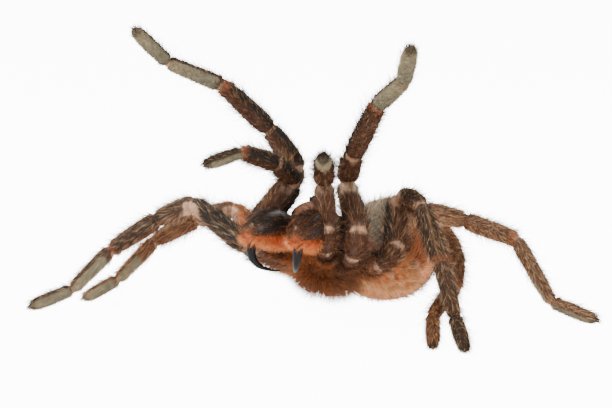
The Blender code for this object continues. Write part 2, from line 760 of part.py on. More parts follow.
class Coat:
    """Locks of bristle, kept clear of every other node and of the floor."""

    def __init__(self, things):
        self.random = random.Random(11)
        self.trees = {}
        for thing in things:
            mesh = thing.data
            points = [vert.co.copy() for vert in mesh.vertices]
            faces = [tuple(face.vertices) for face in mesh.polygons]
            self.trees[thing.name] = BVHTree.FromPolygons(points, faces)
        self.pieces = {thing.name: [] for thing in things}
        self.taken = {}

    def is_clear(self, node, points):
        """Whether a lock keeps the gap to all other nodes, their locks and the floor."""
        reach = LOCK_THICKNESS * 0.6 + GAP
        for point in points:
            if point.z < LOCK_FLOOR:
                return False
            for name, tree in self.trees.items():
                if name != node and tree.find_nearest(point, reach)[0] is not None:
                    return False
            for key in self.cells(point):
                for name, other in self.taken.get(key, ()):
                    if name != node and (point - other).length < reach + LOCK_THICKNESS * 0.6:
                        return False
        return True

    def cells(self, point):
        """The grid cells in and round the one that holds a point."""
        middle = [math.floor(value / LOCK_CELL) for value in point]
        steps = (-1, 0, 1)
        return [(middle[0] + i, middle[1] + j, middle[2] + k) for i in steps for j in steps for k in steps]

    def take(self, node, points):
        """Remember the room that a lock fills."""
        for point in points:
            key = tuple(math.floor(value / LOCK_CELL) for value in point)
            self.taken.setdefault(key, []).append((node, point))

    def grow(self, node, root, out, lie, shape, low=0.45):
        """Add one lock to a node, laid flatter or made shorter where it has no room."""
        length, width, stand, settle = shape
        lie = (lie - out * lie.dot(out)).normalized()
        length *= self.random.uniform(0.85, 1.15)
        width *= self.random.uniform(0.9, 1.1)
        for share in (1.0, 0.8, 0.62, low):
            angles = [math.radians(stand + (settle - stand) * step / 2.0) for step in range(3)]
            path = [root.copy()]
            for angle in angles:
                step = lie * math.cos(angle) + out * math.sin(angle)
                path.append(path[-1] + step * length * share / 3.0)
            sunk = path[0] - (path[1] - path[0]).normalized() * LOCK_SINK
            middle = [sunk, path[0], path[0].lerp(path[1], 0.3), path[0].lerp(path[1], 0.65), path[1]]
            middle += [path[1].lerp(path[2], 0.5), path[2], path[2].lerp(path[3], 0.5), path[3]]
            halves = [width * part for part in (0.4, 0.43, 0.46, 0.5, 0.5, 0.44, 0.36, 0.18, 0.0)]
            across = out.cross(lie).normalized()
            points = []
            for point, half in zip(middle, halves):
                points += [point + across * half * place for place in (-1.0, -0.5, 0.0, 0.5, 1.0)]
            if self.is_clear(node, points):
                self.pieces[node].append(self.make_lock(path, out, lie, width))
                self.take(node, points)
                return True
        return False

    def make_lock(self, path, out, lie, width):
        """A flat tapered lock with a ridge, its root sunk below the skin."""
        side = out.cross(lie).normalized()
        bm = bmesh.new()
        first = (path[1] - path[0]).normalized()
        stations = [(path[0] - first * LOCK_SINK, 0.8, first)]
        for number in (1, 2):
            along = (path[number + 1] - path[number - 1]).normalized()
            stations.append((path[number], 1.0 if number == 1 else 0.72, along))
        rings = []
        for point, share, along in stations:
            up = along.cross(side).normalized()
            if up.dot(out) < 0.0:
                up = -up
            half = side * width * share / 2.0
            thick = up * LOCK_THICKNESS * max(share, 0.8)
            rings.append([bm.verts.new(place) for place in (point + half, point + thick, point - half)])
        skin_rings(bm, rings)
        end = rings[-1]
        cap = [face for face in bm.faces if all(vert in end for vert in face.verts)]
        bmesh.ops.delete(bm, geom=cap, context="FACES_ONLY")
        tip = bm.verts.new(path[-1])
        for number in range(3):
            bm.faces.new((end[number], end[(number + 1) % 3], tip))
        return make_object("lock", bm, DARK)

    def grow_limb(self, limb):
        """Locks along every segment of a limb, pointing to its tip."""
        stops = limb.line.joint_at
        for part, first, last in limb.node_spans():
            node = f"{limb.name}_{part}"
            for index in range(first, last):
                segment = limb.segments[index]
                if segment not in LIMB_LOCKS:
                    continue
                rows, around, *shape = LIMB_LOCKS[segment]
                for row in range(rows):
                    share = 0.14 + 0.62 * (row + 0.35) / rows
                    place = stops[index] + (stops[index + 1] - stops[index]) * share
                    point, tangent, dorsal = limb.line.at(place)
                    across = tangent.cross(dorsal)
                    wide, high = limb.radii_at(place)
                    for number in range(around):
                        turn = 2.0 * math.pi * (number + 0.5 * (row % 2)) / around
                        if segment == "coxa":
                            turn = math.radians(155 + 50 * number)
                        turn += self.random.uniform(-0.25, 0.25)
                        out = dorsal * math.cos(turn) + across * math.sin(turn)
                        root = point + dorsal * math.cos(turn) * high + across * math.sin(turn) * wide
                        self.grow(node, root - out * 0.15, out, tangent, shape)

    def grow_abdomen(self):
        """Long locks that lie backwards over the abdomen."""
        for row in range(ABDOMEN_ROWS):
            along = -0.86 + 1.5 * row / (ABDOMEN_ROWS - 1)
            count = ABDOMEN_ROUND if row not in (0, ABDOMEN_ROWS - 1) else ABDOMEN_ROUND - 3
            for number in range(count):
                angle = 2.0 * math.pi * (number + 0.5 * (row % 2)) / count
                angle += self.random.uniform(-0.15, 0.15)
                root = abdomen_point(along, angle)
                if root.z < 1.2:
                    continue
                out = abdomen_normal(root)
                lie = Vector((0.0, 1.0, -0.12))
                self.grow("abdomen", root - out * 0.25, out, lie, ABDOMEN_LOCK)

    def grow_carapace(self):
        """A fringe of short locks round the carapace's edge."""
        for number in range(CARAPACE_LOCKS):
            angle = 2.0 * math.pi * (number + 0.5) / CARAPACE_LOCKS
            root = carapace_point(angle, 0.97, 0.2)
            lie = FORWARD * math.cos(angle) + LEFT * math.sin(angle)
            self.grow("carapace", root - UP * 0.3, UP, lie, CARAPACE_LOCK)

    def grow_chelicera(self, side, word):
        """Locks along a chelicera's back and a fringe along its lower inner edge."""
        base, axis, top = chelicera_frame(side)
        across = axis.cross(top)
        for share, angles in ((0.35, (-50, 10, 70)), (0.6, (-70, -15, 40)), (0.8, (-40, 25, 80))):
            for angle in angles:
                self.grow_on_chelicera(word, base, axis, top, across, share, angle, axis, CHELICERA_LOCK)
        for share in (0.3, 0.45, 0.6, 0.76):
            for angle in (135, 180, 225):
                lie = axis * 0.7 - Vector((0.0, 0.0, 1.0))
                self.grow_on_chelicera(word, base, axis, top, across, share, angle, lie, FRINGE_LOCK)

    def grow_on_chelicera(self, word, base, axis, top, across, share, angle, lie, shape):
        """One lock at a place along and round a chelicera."""
        _, wide, high = CHELICERA_PROFILE[3]
        wide = read_profile([(at, w) for at, w, _ in CHELICERA_PROFILE], share)
        high = read_profile([(at, h) for at, _, h in CHELICERA_PROFILE], share)
        turn = math.radians(angle)
        middle = base + axis * CHELICERA_LENGTH * share + top * 0.7 * math.sin(math.pi * share)
        root = middle + top * math.cos(turn) * high + across * math.sin(turn) * wide
        out = (top * math.cos(turn) / high + across * math.sin(turn) / wide).normalized()
        self.grow(f"chelicera_{word}", root - out * 0.25, out, lie, shape)

    def grow_sternum(self):
        """Bristles that hang from the sternum."""
        for forward in (-5.0, -1.5, 2.0, 5.2):
            for left in (-2.4, 0.0, 2.4):
                root = on_body(forward, left, STERNUM_BOTTOM + 0.2)
                self.grow("sternum", root, -UP, FORWARD * 0.3 + LEFT * left * 0.2, STERNUM_LOCK)

    def grow_claws(self, limb):
        """A pair of small claws at a foot's tip."""
        node = f"{limb.name}_{limb.node_spans()[-1][0]}"
        point, tangent, dorsal = limb.line.at(limb.line.joint_at[-1])
        across = tangent.cross(dorsal)
        for side in (1.0, -1.0):
            root = point + across * side * 0.4 - tangent * 0.6 + dorsal * 0.1
            tip = root + tangent * (CLAW_LENGTH + 0.6) + across * side * 0.3
            if tip.z < 0.35:
                tip.z = 0.35
            if root.z < 0.5:
                root.z = 0.5
            along = (tip - root).normalized()
            up = (dorsal - along * dorsal.dot(along)).normalized()
            bm = bmesh.new()
            ring = add_ring(bm, root, along, up, CLAW_RADIUS, CLAW_RADIUS, 3)
            bm.faces.new(ring)
            bend = root.lerp(tip, 0.6) + up * 0.25
            second = add_ring(bm, bend, along, up, CLAW_RADIUS * 0.7, CLAW_RADIUS * 0.7, 3)
            end = bm.verts.new(tip)
            for number in range(3):
                after = (number + 1) % 3
                bm.faces.new((ring[number], ring[after], second[after], second[number]))
                bm.faces.new((second[number], second[after], end))
            self.pieces[node].append(make_object("claw", bm, FANG_BLACK))

    def fuse(self, things):
        """Join every node with the locks that grow from it."""
        for thing in things:
            if self.pieces[thing.name]:
                join(thing, self.pieces[thing.name])


def abdomen_normal(point):
    """Outward normal of the abdomen at a point on it."""
    off = point - ABDOMEN_MIDDLE
    half = ABDOMEN_HALF
    return Vector((off.x / half.x ** 2, off.y / half.y ** 2, off.z / half.z ** 2)).normalized()


def apply_boolean(thing, operation, operand, solver):
    """Apply one Boolean of an object or a collection to a node."""
    modifier = thing.modifiers.new("join", "BOOLEAN")
    modifier.operation = operation
    modifier.solver = solver
    if isinstance(operand, bpy.types.Collection):
        modifier.operand_type = "COLLECTION"
        modifier.collection = operand
    else:
        modifier.object = operand
    bpy.context.view_layer.update()
    graph = bpy.context.evaluated_depsgraph_get()
    mesh = bpy.data.meshes.new_from_object(thing.evaluated_get(graph))
    thing.modifiers.clear()
    old = thing.data
    material = old.materials[0]
    thing.data = mesh
    mesh.materials.clear()
    mesh.materials.append(material)
    bpy.data.meshes.remove(old)


def keep_largest(thing):
    """Keep only the largest closed surface of a node."""
    bm = bmesh.new()
    bm.from_mesh(thing.data)
    bmesh.ops.remove_doubles(bm, verts=bm.verts, dist=0.0001)
    bmesh.ops.triangulate(bm, faces=bm.faces)
    bm.faces.ensure_lookup_table()
    seen = set()
    islands = []
    for face in bm.faces:
        if face.index in seen:
            continue
        island = []
        queue = [face]
        seen.add(face.index)
        while queue:
            here = queue.pop()
            island.append(here)
            for edge in here.edges:
                for other in edge.link_faces:
                    if other.index not in seen:
                        seen.add(other.index)
                        queue.append(other)
        islands.append(island)
    if len(islands) > 1:
        islands.sort(key=lambda part: sum(face.calc_area() for face in part))
        for part in islands[:-1]:
            bmesh.ops.delete(bm, geom=part, context="FACES")
        loose = [vert for vert in bm.verts if not vert.link_faces]
        bmesh.ops.delete(bm, geom=loose, context="VERTS")
    bm.to_mesh(thing.data)
    bm.free()


def join(thing, pieces, solver="EXACT"):
    """Fuse closed pieces with the node that they grow from by one Boolean union."""
    group = bpy.data.collections.new("pieces")
    bpy.context.scene.collection.children.link(group)
    for piece in pieces:
        bpy.context.scene.collection.objects.unlink(piece)
        group.objects.link(piece)
    apply_boolean(thing, "UNION", group, solver)
    for piece in pieces:
        bpy.data.objects.remove(piece, do_unlink=True)
    bpy.data.collections.remove(group)
    keep_largest(thing)


def cut(thing, bm, name):
    """Cut a node clear of a neighbour with the neighbour's grown form."""
    tool = make_object(name, bm, DARK)
    tool.hide_render = True
    tool.display_type = "WIRE"
    apply_boolean(thing, "DIFFERENCE", tool, "EXACT")
    bpy.data.objects.remove(tool, do_unlink=True)
    keep_largest(thing)


def round_off(thing, angle=50):
    """Shade a node smooth with its sharp edges kept."""
    thing.data.shade_smooth()
    thing.data.set_sharp_from_angle(angle=math.radians(angle))


def set_on_origin(things):
    """Scale to metres with the origin at the middle of the bounding box's base."""
    low = Vector((1e9, 1e9, 1e9))
    high = -low
    for thing in things:
        for vert in thing.data.vertices:
            low = Vector(map(min, low, vert.co))
            high = Vector(map(max, high, vert.co))
    origin = Vector(((low.x + high.x) / 2.0, (low.y + high.y) / 2.0, low.z))
    move = Matrix.Scale(MM, 4) @ Matrix.Translation(-origin)
    for thing in things:
        thing.data.transform(move)
    print("origin in the building frame, mm:", [round(value, 3) for value in origin])
    print("size, mm:", [round(value, 2) for value in high - low])


def limb_finish(part):
    """Colour of a limb's node."""
    if part in ("foot", "tarsus"):
        return OLIVE
    if part == "hip":
        return RUSTY
    return DARK


def main():
    """Build every node of the spider."""
    clear_scene()
    things = []
    limbs = [Limb(limb_name) for limb_name in POSE]
    for limb in limbs:
        for part, first, last in limb.node_spans():
            bm = limb.build(part, first, last)
            thing = make_object(f"{limb.name}_{part}", bm, limb_finish(part))
            if limb.kind == "palp" and part in ("hip", "femur"):
                cut(thing, build_chelicera(limb.side, GAP), "clearance")
            if part in ("hip", "femur") and limb.kind != "palp":
                cut(thing, build_shell(GAP), "clearance")
            things.append(thing)
    carapace = build_carapace()
    seat = build_tubercle(GAP, with_eyes=False)
    apply_boolean(carapace, "DIFFERENCE", seat, "EXACT")
    bpy.data.objects.remove(seat, do_unlink=True)
    things.append(carapace)
    for side, word in ((1.0, "left"), (-1.0, "right")):
        cut(carapace, build_chelicera(side, GAP), "clearance")
        chelicera = make_object(f"chelicera_{word}", build_chelicera(side), DARK)
        cut(chelicera, build_fang(side, GAP), "socket")
        things.append(chelicera)
        things.append(make_object(f"fang_{word}", build_fang(side), FANG_BLACK))
        things.append(make_object(f"spinneret_{word}", build_spinneret(side), RUSTY))
    things.append(build_tubercle())
    things.append(build_sternum())
    things.append(build_abdomen())
    coat = Coat(things)
    for limb in limbs:
        coat.grow_limb(limb)
        coat.grow_claws(limb)
    coat.grow_abdomen()
    coat.grow_carapace()
    for side, word in ((1.0, "left"), (-1.0, "right")):
        coat.grow_chelicera(side, word)
    coat.grow_sternum()
    coat.fuse(things)
    for thing in things:
        round_off(thing)
    set_on_origin(things)


main()
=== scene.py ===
"""Looks of a life-size tarantula in its threat pose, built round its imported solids.

The spider faces -Y, its own left is +X. Shapes are worked out in millimetres round the middle
of the prosoma, as the solids are, and every finished mesh is set in the row's metres.
"""

import logging
import math
from dataclasses import dataclass, field
from collections.abc import Callable
from enum import Enum

import bmesh
import bpy
import numpy as np
from mathutils import Matrix, Vector


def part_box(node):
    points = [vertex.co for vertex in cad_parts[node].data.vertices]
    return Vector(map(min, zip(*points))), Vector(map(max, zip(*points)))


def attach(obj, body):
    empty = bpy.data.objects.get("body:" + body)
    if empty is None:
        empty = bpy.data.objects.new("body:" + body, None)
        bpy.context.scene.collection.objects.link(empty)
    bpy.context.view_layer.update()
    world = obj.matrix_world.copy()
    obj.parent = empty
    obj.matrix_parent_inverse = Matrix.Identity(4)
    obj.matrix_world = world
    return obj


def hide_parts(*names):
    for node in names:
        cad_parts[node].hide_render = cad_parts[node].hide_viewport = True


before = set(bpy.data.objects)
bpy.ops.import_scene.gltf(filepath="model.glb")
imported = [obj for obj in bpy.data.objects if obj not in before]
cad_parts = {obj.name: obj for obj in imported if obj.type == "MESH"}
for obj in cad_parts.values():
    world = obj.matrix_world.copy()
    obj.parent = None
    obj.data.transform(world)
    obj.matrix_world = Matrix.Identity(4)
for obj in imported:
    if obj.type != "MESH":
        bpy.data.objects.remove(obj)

LOG = logging.getLogger("tarantula")
MM = 0.001

# The prosoma's place and lean, as in the solids.
BODY_MIDDLE = Vector((0.0, 0.0, 14.0))
BODY_PITCH = 23
BODY_ROLL = 2

# The photo's camera: turn from the front to the spider's left, height angle, distance and
# the point that it looks at, in millimetres, with the pixels that a millimetre covers there.
CAMERA_TURN = 34.0
CAMERA_RISE = 8.5
CAMERA_DISTANCE = 340.0
CAMERA_TARGET = Vector((-5.3, -1.2, 27.4))
PIXELS_PER_MM = 4.35
IMAGE_WIDTH = 612
SENSOR_WIDTH = 36.0

Colour = tuple[float, float, float]
Spread = Callable[[np.ndarray, np.ndarray], np.ndarray]


def srgb(red: int, green: int, blue: int) -> Colour:
    """Linear colour of three display values from 0 to 255.

    Args:
        red, green, blue: display values as a paint chart gives them.

    Returns:
        The colour as Cycles mixes it.
    """
    values = []
    for value in (red, green, blue):
        share = value / 255.0
        values.append(share / 12.92 if share <= 0.04045 else ((share + 0.055) / 1.055) ** 2.4)
    return tuple(values)


class Kind(Enum):
    """The kinds of limb."""

    PALP = "palp"
    LEG_1 = "leg_1"
    LEG_2 = "leg_2"
    LEG_3 = "leg_3"
    LEG_4 = "leg_4"

    @property
    def raised(self) -> bool:
        """Whether the pair is held up in front."""
        return self in (Kind.PALP, Kind.LEG_1)

    @property
    def hind(self) -> bool:
        """Whether it is one of the two pairs behind."""
        return self in (Kind.LEG_3, Kind.LEG_4)


class Side(Enum):
    """The spider's own sides, with their sign along its left axis."""

    LEFT = 1.0
    RIGHT = -1.0

    @property
    def word(self) -> str:
        """The side's name in lower case."""
        return self.name.lower()


class Segment(Enum):
    """The segments of a limb from the body outwards."""

    COXA = 0
    TROCHANTER = 1
    FEMUR = 2
    PATELLA = 3
    TIBIA = 4
    METATARSUS = 5
    TARSUS = 6


@dataclass(frozen=True)
class Palette:
    """The spider's colours, each named for where it sits."""

    femur: Colour = srgb(44, 33, 19)
    shank: Colour = srgb(46, 33, 20)
    hind: Colour = srgb(98, 63, 38)
    hind_femur: Colour = srgb(206, 118, 68)
    foot: Colour = srgb(66, 47, 30)
    pad: Colour = srgb(140, 130, 104)
    pad_end: Colour = srgb(172, 152, 116)
    rust: Colour = srgb(102, 62, 33)
    copper: Colour = srgb(176, 104, 54)
    orange: Colour = srgb(240, 144, 80)
    salmon: Colour = srgb(244, 172, 116)
    flame: Colour = srgb(252, 126, 62)
    gold: Colour = srgb(206, 156, 104)
    straw: Colour = srgb(232, 190, 146)
    membrane: Colour = srgb(196, 154, 118)
    # Membrane colour in painted shade, for the grooves of the joint folds.
    membrane_shade: Colour = srgb(150, 100, 74)
    head: Colour = srgb(36, 27, 19)
    bronze: Colour = srgb(104, 74, 52)
    mid: Colour = srgb(66, 44, 27)
    mid_foot: Colour = srgb(84, 57, 37)
    # Pale grey-pink painted on the bare femur undersides as a painted sheen.
    knee_sheen: Colour = srgb(158, 130, 108)
    rim: Colour = srgb(166, 116, 92)
    olive: Colour = srgb(112, 108, 96)
    belly: Colour = srgb(128, 104, 78)


PALETTE = Palette()


def blend(first: np.ndarray, second: Colour | np.ndarray, share: np.ndarray) -> np.ndarray:
    """Mix colours by a share for each point.

    Args:
        first: colours of all points.
        second: one colour, or one for each point.
        share: how much of the second each point gets.

    Returns:
        The mixed colours.
    """
    share = np.clip(share, 0.0, 1.0)[:, None]
    return first * (1.0 - share) + np.asarray(second, dtype=float) * share


def ease(low: float, high: float, value: np.ndarray) -> np.ndarray:
    """Rise smoothly from 0 at low to 1 at high.

    Args:
        low, high: where the rise starts and ends.
        value: the places to read.

    Returns:
        The shares.
    """
    share = np.clip((value - low) / (high - low), 0.0, 1.0)
    return share * share * (3.0 - 2.0 * share)


def whole(value: Colour | Vector, places: np.ndarray) -> np.ndarray:
    """One colour or point, repeated for all places."""
    return np.tile(np.array(value, dtype=float), (len(places), 1))


def unit(vectors: np.ndarray) -> np.ndarray:
    """Vectors at length one."""
    return vectors / np.maximum(np.linalg.norm(vectors, axis=1, keepdims=True), 1e-9)


def body_axes() -> tuple[Vector, Vector, Vector]:
    """Forward, left and up of the reared prosoma.

    Returns:
        The three unit vectors in the world.
    """
    pitch, roll = math.radians(BODY_PITCH), math.radians(BODY_ROLL)
    forward = Vector((0.0, -math.cos(pitch), math.sin(pitch)))
    level_up = Vector((0.0, math.sin(pitch), math.cos(pitch)))
    left = Vector((1.0, 0.0, 0.0)) * math.cos(roll) + level_up * math.sin(roll)
    up = level_up * math.cos(roll) - Vector((1.0, 0.0, 0.0)) * math.sin(roll)
    return forward, left, up


FORWARD, LEFT, UP = body_axes()


def on_body(forward: float, left: float, up: float) -> Vector:
    """A world point from its place in the prosoma's frame, in millimetres."""
    return BODY_MIDDLE + FORWARD * forward + LEFT * left + UP * up


def on_body_all(forward: np.ndarray, left: np.ndarray, up: np.ndarray) -> np.ndarray:
    """World points from their places in the prosoma's frame, in millimetres."""
    axes = np.array([FORWARD, LEFT, UP])
    return np.array(BODY_MIDDLE) + np.stack([forward, left, up], axis=1) @ axes


def heading(turn: float, rise: float) -> Vector:
    """Unit direction from a turn towards the spider's left and a rise from level, in degrees."""
    turn, rise = math.radians(turn), math.radians(rise)
    return Vector((math.sin(turn) * math.cos(rise), -math.cos(turn) * math.cos(rise), math.sin(rise)))


class Shelf:
    """Keeps the row's origin and sets every finished piece on it."""

    origin: np.ndarray = np.zeros(3)

    @classmethod
    def find_origin(cls, points: np.ndarray, node: str) -> None:
        """Work out the row's origin from a node whose own points are known.

        Args:
            points: the node's corners in millimetres, as the solids place them.
            node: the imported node's name.
        """
        low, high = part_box(node)
        middle = (np.array(low) + np.array(high)) / 2.0 / MM
        own = (points.min(axis=0) + points.max(axis=0)) / 2.0
        cls.origin = own - middle

    @classmethod
    def place(cls, points: np.ndarray) -> np.ndarray:
        """Points in the row's metres."""
        return (points - cls.origin) * MM

    @classmethod
    def set_out(cls, thing: bpy.types.Object, slot: str, nodes: tuple[str, ...] = ()) -> None:
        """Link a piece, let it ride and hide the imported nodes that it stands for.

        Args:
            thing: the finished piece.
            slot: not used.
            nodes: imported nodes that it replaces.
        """
        bpy.context.scene.collection.objects.link(thing)
        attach(thing, "root")
        if nodes:
            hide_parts(*nodes)
        LOG.info("%s: %d faces", thing.name, len(thing.data.polygons))


class Surface:
    """A closed skin read by a place along it and an angle round it, from its back."""

    # Part of the skin's length, and angle, over which its directions are told.
    near_share: float = 0.004
    near_angle: float = 0.06

    def points(self, along: np.ndarray, angle: np.ndarray) -> np.ndarray:
        """Points of the skin in millimetres."""
        raise NotImplementedError

    def middles(self, along: np.ndarray) -> np.ndarray:
        """Points inside the skin, from which its outer side is told."""
        raise NotImplementedError

    def tint(self, along: np.ndarray, angle: np.ndarray) -> np.ndarray:
        """Colour of the markings at places on the skin."""
        raise NotImplementedError

    def gloss(self, along: np.ndarray, angle: np.ndarray) -> np.ndarray:
        """How bare and shiny the skin is, from 0 to 1."""
        return np.zeros_like(along)

    def ends(self) -> tuple[float, float]:
        """First and last place along the skin."""
        return 0.0, 1.0

    def frames(self, along: np.ndarray, angle: np.ndarray) -> tuple[np.ndarray, np.ndarray, np.ndarray]:
        """Points with their outward normals and the direction along the skin.

        Args:
            along: places along the skin.
            angle: angles round it.

        Returns:
            Points, normals and lies, one row each.
        """
        low, high = self.ends()
        step = (high - low) * self.near_share
        before = self.points(np.clip(along - step, low, high), angle)
        after = self.points(np.clip(along + step, low, high), angle)
        lie = unit(after - before)
        turn = self.points(along, angle + self.near_angle) - self.points(along, angle - self.near_angle)
        normal = unit(np.cross(turn, lie))
        points = self.points(along, angle)
        outward = np.sum(normal * (points - self.middles(along)), axis=1)
        normal[outward < 0.0] *= -1.0
        return points, normal, lie

    def build(self, name: str, stations: np.ndarray, sides: int) -> bpy.types.Object:
        """Model the skin as a ring that is extruded from station to station.

        Args:
            name: the piece's name.
            stations: places along the skin for its rings.
            sides: corners of each ring.

        Returns:
            The piece, with its markings as attributes.
        """
        bm = bmesh.new()
        step = bm.verts.layers.int.new("step")
        place = bm.verts.layers.float.new("along")
        bmesh.ops.create_circle(bm, cap_ends=False, segments=sides, radius=1.0)
        for number, vert in enumerate(bm.verts):
            vert[step] = number
        angles = 2.0 * math.pi * np.arange(sides) / sides
        edges = list(bm.edges)
        ring = list(bm.verts)
        for index, station in enumerate(stations):
            if index:
                made = bmesh.ops.extrude_edge_only(bm, edges=edges)["geom"]
                ring = [item for item in made if isinstance(item, bmesh.types.BMVert)]
                fresh = set(ring)
                edges = [
                    item
                    for item in made
                    if isinstance(item, bmesh.types.BMEdge) and set(item.verts) <= fresh
                ]
            corners = Shelf.place(self.points(np.full(sides, station), angles))
            for vert in ring:
                vert.co = corners[vert[step]]
                vert[place] = station
        bmesh.ops.holes_fill(bm, edges=[edge for edge in bm.edges if edge.is_boundary], sides=0)
        bmesh.ops.recalc_face_normals(bm, faces=bm.faces)
        mesh = bpy.data.meshes.new(name)
        bm.to_mesh(mesh)
        bm.free()
        self.mark(mesh, sides)
        mesh.shade_smooth()
        return bpy.data.objects.new(name, mesh)

    def set_skin(
        self, name: str, stations: np.ndarray, sides: int, look: bpy.types.Material, slot: str,
        nodes: tuple[str, ...] = (),
    ) -> None:
        """Build the skin, give it its finish and set it out.

        Args:
            name: the piece's name.
            stations: places along the skin for its rings.
            sides: corners of each ring.
            look: its material.
            slot: the record's material slot.
            nodes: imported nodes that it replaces.
        """
        skin = self.build(name, stations, sides)
        skin.data.materials.append(look)
        Shelf.set_out(skin, slot, nodes)

    def mark(self, mesh: bpy.types.Mesh, sides: int) -> None:
        """Write the markings and the gloss on a skin's mesh.

        Args:
            mesh: the mesh with its step and along layers.
            sides: corners of each ring.
        """
        count = len(mesh.vertices)
        steps = np.zeros(count, dtype=np.int32)
        along = np.zeros(count, dtype=np.float32)
        mesh.attributes["step"].data.foreach_get("value", steps)
        mesh.attributes["along"].data.foreach_get("value", along)
        along = along.astype(float)
        angle = 2.0 * math.pi * steps / sides
        write_colour(mesh, self.tint(along, angle))
        shine = mesh.attributes.new("Gloss", "FLOAT", "POINT")
        shine.data.foreach_set("value", self.gloss(along, angle).astype(np.float32))
        mesh.attributes.remove(mesh.attributes["step"])
        mesh.attributes.remove(mesh.attributes["along"])


def write_colour(mesh: bpy.types.Mesh, colours: np.ndarray) -> None:
    """Store one colour for each vertex as the attribute Tint.

    Args:
        mesh: the mesh to colour.
        colours: a colour for each vertex.
    """
    layer = mesh.color_attributes.new("Tint", "FLOAT_COLOR", "POINT")
    full = np.ones((len(colours), 4), dtype=np.float32)
    full[:, :3] = np.clip(colours, 0.0, 1.0)
    layer.data.foreach_set("color", full.ravel())


@dataclass(frozen=True)
class Hair:
    """One kind of hair: its sizes in millimetres and how it stands."""

    length: tuple[float, float]
    width: float
    stand: float
    settle: float
    spread: float = 12.0
    joints: int = 1
    light: float = 0.0
    light_colour: Colour = PALETTE.gold
    tip: float = 0.25
    tone: Colour = PALETTE.femur
    tone_share: float = 0.0


@dataclass(frozen=True)
class Lot:
    """Hairs of one kind for a coat: how many roots are tried, with what chance, and where."""

    hair: Hair
    count: int
    chance: Spread
    stretch: tuple[float, float] | None = None


